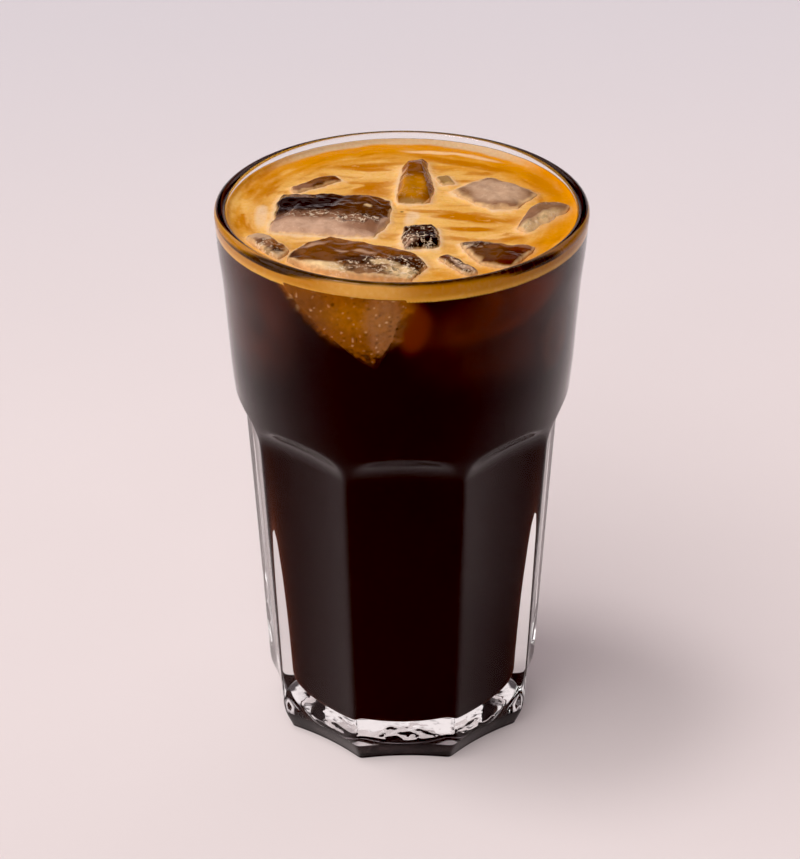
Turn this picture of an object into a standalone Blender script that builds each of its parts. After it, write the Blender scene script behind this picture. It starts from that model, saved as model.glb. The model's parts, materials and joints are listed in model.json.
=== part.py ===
"""Iced coffee in a tall faceted glass tumbler, filled almost to the rim.

The glass is turned, then cut by nine long flutes with rounded upper ends and by nine short
flutes round its foot. Coffee fills it, a layer of crema lies on the coffee, and lumps of ice
float through both. Metres, +Z up, origin at the centre of the foot, the front flute faces -Y.
"""
import math
import random

import bmesh
import bpy
from mathutils import Matrix, Vector

MM = 0.001

# Driving dimensions of the glass
HEIGHT = 132.0 * MM
RIM_RADIUS = 42.0 * MM
LIP_RADIUS = 1.35 * MM
FLOOR_LEVEL = 7.0 * MM
FLOOR_RADIUS = 18.0 * MM
FLOOR_FILLET = 3.2 * MM
FILLET_END = math.radians(6.0)
FLUTES = 9
FLUTE_RADIUS = 64.0 * MM
FLUTE_BASE = 30.35 * MM
FLUTE_LEAN = 0.050
SCOOP_START = 79.5 * MM
SCOOP_RADIUS = 10.5 * MM
SCOOP_ANGLE = math.radians(64.0)
FOOT_BASE = 28.35 * MM
FOOT_LEAN = 0.40
ARRIS_LAND = 0.25 * MM
LAND_BELOW_SCOOP = 1.5 * MM
CUTTER_BOTTOM = -20.0 * MM
FOOT_CUTTER_TOP = 14.0 * MM

# Driving dimensions of what the glass holds
FOAM_LEVEL = HEIGHT - 2.3 * MM
FOAM_DEPTH = 2.6 * MM
FOAM_CLIMB = 0.7 * MM
CLIMB_FROM = 0.93
FOAM_RELIEF = 0.22 * MM
CALM_MIDDLE = 0.25
FOAM_RINGS = (0.0, 0.3, 0.6, 0.82, CLIMB_FROM, 1.0)
# Waves round the foam and how far the wall's end of each lags, in radians, with its share
SWIRLS = ((3.0, 5.0, 0.62), (5.0, -7.0, 0.38))
GAP = 0.3 * MM

# Fineness of the turned shapes
TURN_STEPS = 72
FILL_STEPS = 48
FLUTE_STEPS = 120
LIP_STEPS = 6
FILLET_STEPS = 3
SCOOP_STEPS = 7
MERGE = 0.00001
SHARP_ANGLE = math.radians(25.0)

# Outer wall above the flutes, as radius and height in millimetres, from the lip downwards
OUTER_WALL = (
    (41.55, 123.5),
    (40.65, 114.5),
    (40.0, 105.0),
    (39.35, 94.5),
    (38.95, 90.0),
    (38.55, 86.0),
    (37.95, 82.0),
)

# Inner wall, as radius and height in millimetres, from the floor's fillet upwards
INNER_WALL = (
    (21.9, 22.0),
    (24.2, 46.0),
    (26.9, 62.0),
    (30.4, 76.0),
    (34.2, 89.0),
    (36.4, 100.0),
    (38.0, 115.0),
)

# Lumps of ice, in millimetres: the corners of the top seen from above, anticlockwise from the left
# end's front one, height above the foam, depth of the left and right ends below it, and the
# shares of the length and width that are left below
ICE = {
    "ice_left": dict(corners=((-31.4, -12.6), (-3.4, -16.4), (0.4, 6.4), (-29.8, 11.0)),
                     proud=1.8, deep=(16.0, 19.0), taper=(0.84, 0.84), seed=11),
    "ice_front": dict(corners=((-29.4, -30.4), (0.0, -42.5), (8.8, -25.0), (-20.8, -13.0)),
                      proud=2.2, deep=(6.5, 21.0), taper=(0.52, 0.95), seed=5),
    "ice_back": dict(corners=((-2.2, 24.6), (-1.2, 1.4), (7.2, 2.2), (8.4, 28.4)),
                     proud=2.2, deep=(12.0, 10.0), taper=(0.85, 0.85), seed=23),
    "ice_back_right": dict(corners=((9.4, 9.4), (23.0, -4.0), (32.8, 8.4), (19.4, 19.0)),
                           proud=1.3, deep=(12.0, 14.0), taper=(0.84, 0.84), seed=31),
    "ice_right": dict(corners=((30.6, 3.4), (24.0, -10.8), (29.4, -14.0), (39.2, 1.0)),
                      proud=1.9, deep=(9.0, 12.0), taper=(0.80, 0.80), seed=47),
    "ice_centre": dict(corners=((-0.2, -9.6), (-1.6, -21.4), (8.0, -22.0), (8.6, -9.0)),
                       proud=2.0, deep=(7.0, 9.0), taper=(0.78, 0.78), seed=53),
    "ice_front_right": dict(corners=((16.0, -28.8), (23.0, -31.6), (30.6, -19.4), (10.8, -16.0)),
                            proud=1.5, deep=(11.0, 12.0), taper=(0.82, 0.82), seed=61),
    "ice_front_left": dict(corners=((-35.2, -13.8), (-26.8, -26.4), (-23.8, -21.0), (-32.2, -10.8)),
                           proud=1.5, deep=(7.0, 7.0), taper=(0.80, 0.80), seed=71),
    "ice_sliver": dict(corners=((6.4, -24.4), (13.6, -34.4), (16.4, -32.8), (10.0, -23.0)),
                       proud=1.3, deep=(5.0, 5.0), taper=(0.80, 0.80), seed=83),
    "ice_far_left": dict(corners=((-24.0, 9.2), (-12.6, 16.6), (-14.6, 20.0), (-26.0, 12.4)),
                         proud=1.1, deep=(6.0, 6.0), taper=(0.82, 0.82), seed=97),
    "ice_chip": dict(corners=((7.6, 18.0), (9.2, 12.9), (12.8, 13.8), (11.2, 18.9)),
                     proud=0.9, deep=(4.5, 4.5), taper=(0.85, 0.85), seed=101),
}
AGAINST_WALL = ("ice_front",)
WALL_CLEARANCE = 0.36 * MM
CREMA_FRONT = 2.4 * MM
ICE_JITTER = 0.04
ICE_EDGE = 0.45
ICE_LEVELS = 2

# Colours and finish: base colour, roughness, transmission and refractive index
FINISHES = {
    "clear_glass": ((0.93, 0.95, 0.95), 0.02, 1.0, 1.52),
    "black_coffee": ((0.045, 0.014, 0.006), 0.06, 0.0, 1.34),
    "crema_foam": ((0.72, 0.36, 0.10), 0.38, 0.0, 1.36),
    "clear_ice": ((0.46, 0.33, 0.26), 0.10, 0.6, 1.31),
}


def clear_scene():
    """Remove whatever the scene holds at the start."""
    for old in list(bpy.data.objects):
        bpy.data.objects.remove(old, do_unlink=True)


def new_collection(name):
    """Make a collection and put it in the scene."""
    group = bpy.data.collections.new(name)
    bpy.context.scene.collection.children.link(group)
    return group


def make_material(name):
    """Make a Principled material from its row in FINISHES."""
    colour, roughness, transmission, ior = FINISHES[name]
    material = bpy.data.materials.new(name)
    material.use_nodes = True
    shader = material.node_tree.nodes["Principled BSDF"]
    shader.inputs["Base Color"].default_value = (*colour, 1.0)
    shader.inputs["Roughness"].default_value = roughness
    shader.inputs["Metallic"].default_value = 0.0
    shader.inputs["Transmission Weight"].default_value = transmission
    shader.inputs["IOR"].default_value = ior
    material.diffuse_color = (*colour, 1.0)
    return material


def add_object(name, mesh, group, material=None):
    """Put a mesh in the scene as an object of this name."""
    thing = bpy.data.objects.new(name, mesh)
    group.objects.link(thing)
    if material is not None:
        mesh.materials.append(material)
    return thing


def as_cutter(thing):
    """Hide a cutter from the finished model."""
    thing.hide_render = True
    thing.display_type = "WIRE"
    return thing


def turned(name, profile, steps, group, material=None):
    """Turn a profile of (radius, height) points, which runs down its outer side, about Z."""
    mesh = bpy.data.meshes.new(name)
    points = [(radius, 0.0, height) for radius, height in profile]
    edges = [(index, index + 1) for index in range(len(points) - 1)]
    mesh.from_pydata(points, edges, [])
    thing = add_object(name, mesh, group, material)
    screw = thing.modifiers.new("turn", "SCREW")
    screw.axis = "Z"
    screw.angle = math.tau
    screw.steps = steps
    screw.render_steps = steps
    screw.use_merge_vertices = True
    screw.merge_threshold = MERGE
    screw.use_smooth_shade = True
    return thing


def applied(thing):
    """Replace an object's mesh and modifiers by the mesh that they make."""
    bpy.context.view_layer.update()
    graph = bpy.context.evaluated_depsgraph_get()
    mesh = bpy.data.meshes.new_from_object(thing.evaluated_get(graph))
    mesh.name = thing.name
    thing.modifiers.clear()
    thing.data = mesh
    return thing


def cut_by(thing, cutters):
    """Take every object of a collection out of a piece."""
    boolean = thing.modifiers.new("cut by " + cutters.name, "BOOLEAN")
    boolean.operation = "DIFFERENCE"
    boolean.operand_type = "COLLECTION"
    boolean.collection = cutters
    boolean.solver = "EXACT"
    return boolean


def arc(centre, radius, start, stop, steps):
    """Points of a round stretch, as (radius, height), with angles from the outward axis."""
    points = []
    for step in range(steps + 1):
        angle = start + (stop - start) * step / steps
        points.append((centre[0] + radius * math.cos(angle), centre[1] + radius * math.sin(angle)))
    return points


def wall_points(table):
    """A wall's table in metres."""
    return [(radius * MM, height * MM) for radius, height in table]


def radius_at(height):
    """Inner radius of the glass at a height, read from its wall."""
    wall = floor_fillet() + wall_points(INNER_WALL)
    wall.append((RIM_RADIUS - 2 * LIP_RADIUS, HEIGHT - LIP_RADIUS))
    for (low_radius, low), (high_radius, high) in zip(wall, wall[1:]):
        if low <= height <= high:
            share = (height - low) / (high - low)
            return low_radius + share * (high_radius - low_radius)
    raise ValueError("height is outside the inner wall")


def floor_fillet(inset=0.0):
    """Round corner between the glass's floor and its inner wall."""
    centre = (FLOOR_RADIUS, FLOOR_LEVEL + FLOOR_FILLET)
    return arc(centre, FLOOR_FILLET - inset, -math.pi / 2, -FILLET_END, FILLET_STEPS)


def flute_mid(height):
    """Radius of a flute's middle line at a height."""
    return FLUTE_BASE + FLUTE_LEAN * height


def arris_radius(height):
    """Radius at which two neighbouring flutes meet at a height."""
    half = math.pi / FLUTES
    middle = flute_mid(height)
    centre = middle + FLUTE_RADIUS
    reach = centre * math.cos(half)
    return reach - math.sqrt(reach * reach - centre * centre + FLUTE_RADIUS * FLUTE_RADIUS)


def glass_blank(group, material):
    """The turned glass before its flutes are cut, open at the top."""
    lip_centre = (RIM_RADIUS - LIP_RADIUS, HEIGHT - LIP_RADIUS)
    land_top = SCOOP_START - LAND_BELOW_SCOOP
    profile = [(0.0, FLOOR_LEVEL)]
    profile += floor_fillet()
    profile += wall_points(INNER_WALL)
    profile += arc(lip_centre, LIP_RADIUS, math.pi, 0.0, LIP_STEPS)
    profile += wall_points(OUTER_WALL)
    profile += [(arris_radius(land_top) - ARRIS_LAND, land_top), (arris_radius(0.0) - ARRIS_LAND, 0.0)]
    profile += [(0.0, 0.0)]
    return turned("glass", profile, TURN_STEPS, group, material)


def flute_profile(radius, low, high):
    """Profile of a straight flute's cutter, along its own axis."""
    return [(0.0, high), (radius, high), (radius, low), (0.0, low)]


def scoop_profile(radius, low, scoop_from):
    """Profile of a flute's cutter whose upper end curves away from the glass."""
    centre = (radius - SCOOP_RADIUS, scoop_from)
    end = arc(centre, SCOOP_RADIUS, SCOOP_ANGLE, 0.0, SCOOP_STEPS)
    return [(0.0, end[0][1])] + end + [(radius, low), (0.0, low)]


def lean_cutter(cutter, base, lean, turn):
    """Stand a cutter beside the glass so that its near side leans along the flute's middle line."""
    tilt = math.atan(lean)
    outward = Vector((0.0, -1.0, 0.0))
    across = Matrix.Rotation(tilt, 4, "X")
    normal = across @ outward
    place = Matrix.Translation(outward * base + normal * FLUTE_RADIUS)
    cutter.matrix_world = Matrix.Rotation(turn, 4, "Z") @ place @ across


def flute_cutters(group):
    """Nine long flutes with scooped ends, and their cutters' places round the glass."""
    profile = scoop_profile(FLUTE_RADIUS, CUTTER_BOTTOM, SCOOP_START)
    for index in range(FLUTES):
        cutter = as_cutter(turned("flute_%d" % index, profile, FLUTE_STEPS, group))
        lean_cutter(cutter, FLUTE_BASE, FLUTE_LEAN, math.tau * index / FLUTES)


def foot_cutters(group):
    """Nine short flutes that bevel the foot."""
    profile = flute_profile(FLUTE_RADIUS, CUTTER_BOTTOM, FOOT_CUTTER_TOP)
    for index in range(FLUTES):
        cutter = as_cutter(turned("foot_%d" % index, profile, FLUTE_STEPS, group))
        lean_cutter(cutter, FOOT_BASE, FOOT_LEAN, math.tau * index / FLUTES)


def ice_cage(row):
    """The eight corners of a lump: a block whose sunk side is narrower and slopes end to end."""
    draw = random.Random(row["seed"])
    keys = ((-1, -1), (1, -1), (1, 1), (-1, 1))
    outline = {key: Vector((*corner, 0.0)) * MM for key, corner in zip(keys, row["corners"])}
    middle = sum(outline.values(), Vector()) / len(keys)
    along = sum((end * corner for (end, _), corner in outline.items()), Vector()) / len(keys)
    across = sum((side * corner for (_, side), corner in outline.items()), Vector()) / len(keys)
    skew = sum((end * side * corner for (end, side), corner in outline.items()), Vector()) / len(keys)
    corners = {}
    for end, side in keys:
        depth = row["deep"][0 if end < 0 else 1] * MM
        for level in (-1, 1):
            length, width = (1.0, 1.0) if level > 0 else row["taper"]
            slack = [1.0 + draw.uniform(-ICE_JITTER, ICE_JITTER) for _ in range(3)]
            place = middle + end * length * slack[0] * along + side * width * slack[1] * across
            place += end * side * length * width * skew
            place.z = FOAM_LEVEL + row["proud"] * MM if level > 0 else FOAM_LEVEL - depth * slack[2]
            corners[(end, side, level)] = place
    return corners


def ice_lump(name, row, group, material=None, grow=0.0):
    """A rounded lump of ice; grow pushes its faces out for cutting its place."""
    corners = ice_cage(row)
    block = bmesh.new()
    bmesh.ops.create_cube(block, size=2.0)
    for corner in block.verts:
        key = tuple(1 if value > 0 else -1 for value in corner.co)
        corner.co = corners[key]
    mesh = bpy.data.meshes.new(name)
    block.to_mesh(mesh)
    block.free()
    lump = add_object(name, mesh, group, material)
    creases = mesh.attributes.new("crease_edge", "FLOAT", "EDGE")
    creases.data.foreach_set("value", [ICE_EDGE] * len(mesh.edges))
    melt = lump.modifiers.new("melted edges", "SUBSURF")
    melt.levels = ICE_LEVELS
    melt.render_levels = ICE_LEVELS
    if grow > 0.0:
        push = lump.modifiers.new("room round the ice", "DISPLACE")
        push.strength = grow
        push.mid_level = 0.0
    mesh.shade_smooth()
    return lump


def wall_bound(name, clearance, group):
    """The space for ice that lies against the wall; near the foam it leaves room for crema."""
    crema_foot = FOAM_LEVEL - FOAM_DEPTH
    top = HEIGHT - LIP_RADIUS
    profile = [(0.0, HEIGHT), (radius_at(top) - CREMA_FRONT - clearance, HEIGHT)]
    profile += [(radius_at(crema_foot) - CREMA_FRONT - clearance, crema_foot + CREMA_FRONT)]
    profile += [(radius_at(crema_foot) - clearance, crema_foot - GAP)]
    low = [(radius - clearance, height) for radius, height in wall_points(INNER_WALL)[-3:]]
    profile += list(reversed(low)) + [(0.0, low[0][1])]
    return as_cutter(turned(name, profile, TURN_STEPS, group))


def kept_inside(lump, bound):
    """Keep only the part of a lump that lies inside a bound."""
    boolean = lump.modifiers.new("inside " + bound.name, "BOOLEAN")
    boolean.operation = "INTERSECT"
    boolean.object = bound
    boolean.solver = "EXACT"


def coffee(group, material):
    """Coffee from the glass's floor up to the crema's underside."""
    top = FOAM_LEVEL - FOAM_DEPTH - GAP
    profile = [(0.0, top), (radius_at(top) - GAP, top)]
    profile += [(radius - GAP, height) for radius, height in reversed(wall_points(INNER_WALL))]
    profile += list(reversed(floor_fillet(GAP)))
    profile += [(0.0, FLOOR_LEVEL + GAP)]
    return turned("coffee", profile, FILL_STEPS, group, material)


def crema_height(place):
    """Uneven surface of the foam: slow swirls, and a climb where it clings to the wall."""
    share = math.hypot(place.x, place.y) / (radius_at(FOAM_LEVEL) - GAP)
    angle = math.atan2(place.y, place.x)
    swirl = sum(part * math.sin(waves * angle + lag * share) for waves, lag, part in SWIRLS)
    calm = min(1.0, share / CALM_MIDDLE)
    climb = FOAM_CLIMB * max(0.0, (share - CLIMB_FROM) / (1.0 - CLIMB_FROM)) ** 2
    return FOAM_RELIEF * calm * swirl + climb


def crema(group, material):
    """The layer of crema, with its swirls raised on the turned disc."""
    bottom = FOAM_LEVEL - FOAM_DEPTH
    edge = radius_at(FOAM_LEVEL) - GAP
    profile = [(share * edge, FOAM_LEVEL) for share in FOAM_RINGS]
    profile += [(radius_at(bottom) - GAP, bottom), (0.0, bottom)]
    layer = applied(turned("crema", profile, FILL_STEPS, group, material))
    for point in layer.data.vertices:
        if point.co.z > FOAM_LEVEL - FOAM_DEPTH / 2:
            point.co.z += crema_height(point.co)
    return layer


def build():
    """Make every piece of the iced coffee."""
    clear_scene()
    parts = new_collection("iced_coffee")
    flute_group = new_collection("flute_cutters")
    foot_group = new_collection("foot_cutters")
    ice_places = new_collection("ice_places")
    bounds = new_collection("ice_bounds")
    materials = {name: make_material(name) for name in FINISHES}

    glass = glass_blank(parts, materials["clear_glass"])
    flute_cutters(flute_group)
    foot_cutters(foot_group)
    cut_by(glass, flute_group)
    cut_by(glass, foot_group)
    applied(glass).data.set_sharp_from_angle(angle=SHARP_ANGLE)

    bound = wall_bound("ice_bound", WALL_CLEARANCE, bounds)
    wider_bound = wall_bound("place_bound", WALL_CLEARANCE - GAP, bounds)
    for name, row in ICE.items():
        lump = ice_lump(name, row, parts, materials["clear_ice"])
        place = as_cutter(ice_lump("place_of_" + name, row, ice_places, grow=GAP))
        if name in AGAINST_WALL:
            kept_inside(lump, bound)
            kept_inside(place, wider_bound)

    cut_by(coffee(parts, materials["black_coffee"]), ice_places)
    cut_by(crema(parts, materials["crema_foam"]), ice_places)


build()
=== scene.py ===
"""Looks of an iced coffee in a tall faceted tumbler: pressed glass, black coffee, crema and ice.

Laid out as an add-on whose operators make one piece or group of pieces each. Metres, +Z up; the
front flute faces -Y. Small sizes are written in millimetres times MM.
"""

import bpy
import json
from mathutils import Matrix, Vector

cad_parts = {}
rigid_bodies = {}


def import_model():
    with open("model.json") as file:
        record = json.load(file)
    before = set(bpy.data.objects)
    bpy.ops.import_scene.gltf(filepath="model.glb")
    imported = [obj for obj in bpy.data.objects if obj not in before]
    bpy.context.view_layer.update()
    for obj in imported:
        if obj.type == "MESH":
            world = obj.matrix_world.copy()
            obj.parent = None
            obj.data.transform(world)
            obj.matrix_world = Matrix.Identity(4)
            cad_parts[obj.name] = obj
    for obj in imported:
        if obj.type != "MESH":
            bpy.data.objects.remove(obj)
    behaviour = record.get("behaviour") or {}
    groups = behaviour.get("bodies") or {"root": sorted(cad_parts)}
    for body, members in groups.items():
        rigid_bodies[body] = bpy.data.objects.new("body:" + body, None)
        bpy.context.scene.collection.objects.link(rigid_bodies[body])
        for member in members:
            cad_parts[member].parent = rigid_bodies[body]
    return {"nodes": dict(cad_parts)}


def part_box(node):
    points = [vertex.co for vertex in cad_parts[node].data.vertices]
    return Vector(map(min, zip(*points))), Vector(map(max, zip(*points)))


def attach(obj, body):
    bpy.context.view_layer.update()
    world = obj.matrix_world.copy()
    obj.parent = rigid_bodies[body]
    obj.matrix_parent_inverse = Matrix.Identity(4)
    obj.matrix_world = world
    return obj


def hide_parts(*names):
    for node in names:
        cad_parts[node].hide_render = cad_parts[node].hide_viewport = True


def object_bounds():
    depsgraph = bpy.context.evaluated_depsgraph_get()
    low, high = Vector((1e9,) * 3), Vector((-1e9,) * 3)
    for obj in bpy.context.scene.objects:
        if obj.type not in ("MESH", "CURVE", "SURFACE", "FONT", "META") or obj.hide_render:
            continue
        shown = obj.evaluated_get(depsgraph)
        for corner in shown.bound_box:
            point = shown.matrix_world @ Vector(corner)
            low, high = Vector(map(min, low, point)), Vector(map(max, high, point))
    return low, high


bl_info = {
    "name": "Iced Coffee",
    "version": (1, 0, 0),
    "blender": (4, 5, 0),
    "location": "3D View > Sidebar > Iced Coffee",
    "description": "Dresses a packed iced coffee with glass, coffee, crema and ice",
    "category": "Object",
}

import itertools
import json
import math

import bpy
import numpy as np
from mathutils import Matrix, Vector
from mathutils.bvhtree import BVHTree
from mathutils.kdtree import KDTree

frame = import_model()
CAD_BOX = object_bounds()

MM = 0.001
BODY = "root"

# Sizes that the frame gives
HEIGHT = CAD_BOX[1].z
RIM_RADIUS = CAD_BOX[1].x
FOAM_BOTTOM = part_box("crema")[0].z

# Sizes of the glass and level of the foam, as in their construction
LIP_RADIUS = 1.35 * MM
FLOOR_LEVEL = 7.0 * MM
FLOOR_RADIUS = 18.0 * MM
FLOOR_FILLET = 3.2 * MM
FLUTES = 9
FLUTE_RADIUS = 64.0 * MM
FLUTE_BASE = 30.35 * MM
FLUTE_LEAN = 0.050
SCOOP_START = 79.5 * MM
SCOOP_RADIUS = 10.5 * MM
FOOT_BASE = 28.35 * MM
FOOT_LEAN = 0.40
BEVEL_TOP = 5.4 * MM
ARRIS_LAND = 0.25 * MM
LAND_TOP = 78.0 * MM
FOAM_LEVEL = HEIGHT - 2.3 * MM

# Ring under the base inside which it is hollow, and radius outside which the bevel lies
RECESS_RADIUS = 24.0 * MM
BEVEL_INSIDE = 26.0 * MM

# Depth under the crema in which the coffee's rows lie closer, for its painted light, the wet part of
# the ice by the wall, and how much smaller than a lump its place in the drink is
LIT_DEPTH = 22.0 * MM
WET_LEVEL = FOAM_LEVEL - 1.2 * MM
PLACE_INSET = 0.12 * MM

# Columns of points in one flute, round the coffee, round the crema and round the floor
FLUTE_COLUMNS = 40
COFFEE_COLUMNS = 320
CREMA_COLUMNS = 360
FLOOR_COLUMNS = 64

# The camera as it was fitted to the photograph: lens and sensor in millimetres, shift and the
# photograph's height in pixels
CAMERA_LENS = 108.54
SENSOR_WIDTH = 36.0
IMAGE_HEIGHT = 859.0
CAMERA_SHIFT = (-2.3, 13.6)
CAMERA_TURN = math.radians(0.974)
CAMERA_ROLL = math.radians(-0.127)
CAMERA_TARGET = Vector((0.0, 0.0, 70.0 * MM))

# Outer wall above the flutes and inner wall above the floor's fillet, as radius and height in
# millimetres, upwards
OUTER_WALL = (
    (37.95, 82.0), (38.55, 86.0), (38.95, 90.0), (39.35, 94.5),
    (40.0, 105.0), (40.65, 114.5), (41.55, 123.5),
)
INNER_WALL = (
    (21.18, 9.87), (21.9, 22.0), (24.2, 46.0), (26.9, 62.0), (30.4, 76.0),
    (34.2, 89.0), (36.4, 100.0), (38.0, 115.0),
)

# Colours of ice, crema and coffee; the last number says how cloudy or dry a place is. The glowing
# tones of the ice, the glare on the crema and the red and dim glows of the coffee are painted light
TONES = {
    "dark": (0.026, 0.009, 0.007, 0.10), "brown": (0.170, 0.052, 0.010, 0.18),
    "umber": (0.240, 0.085, 0.018, 0.22), "red": (0.150, 0.027, 0.004, 0.12),
    "amber": (0.380, 0.115, 0.006, 0.20), "painted_glow": (0.800, 0.300, 0.006, 0.30),
    "mist": (0.350, 0.165, 0.095, 0.55), "frost": (0.640, 0.400, 0.275, 0.90),
    "grey": (0.270, 0.130, 0.060, 0.60), "cloud": (0.600, 0.385, 0.250, 0.95),
    "olive": (0.400, 0.230, 0.070, 0.60), "tan": (0.340, 0.150, 0.060, 0.75),
    "crumb": (1.000, 0.700, 0.360, 1.00), "orange": (0.720, 0.262, 0.004, 0.05),
    "golden": (0.720, 0.335, 0.058, 0.25), "light": (0.860, 0.470, 0.120, 0.40),
    "cream": (0.930, 0.540, 0.190, 0.70), "froth": (0.860, 0.600, 0.390, 1.00),
    "beige": (0.640, 0.450, 0.270, 0.70), "rust": (0.540, 0.170, 0.003, 0.05),
    "painted_glare": (0.960, 0.600, 0.320, 0.10), "coffee": (0.0042, 0.0012, 0.0008, 0.0),
    "painted_ember_glow": (0.170, 0.026, 0.003, 0.0), "painted_dim_glow": (0.060, 0.013, 0.006, 0.0),
}
TONES = {name: np.array(tone) for name, tone in TONES.items()}

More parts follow.
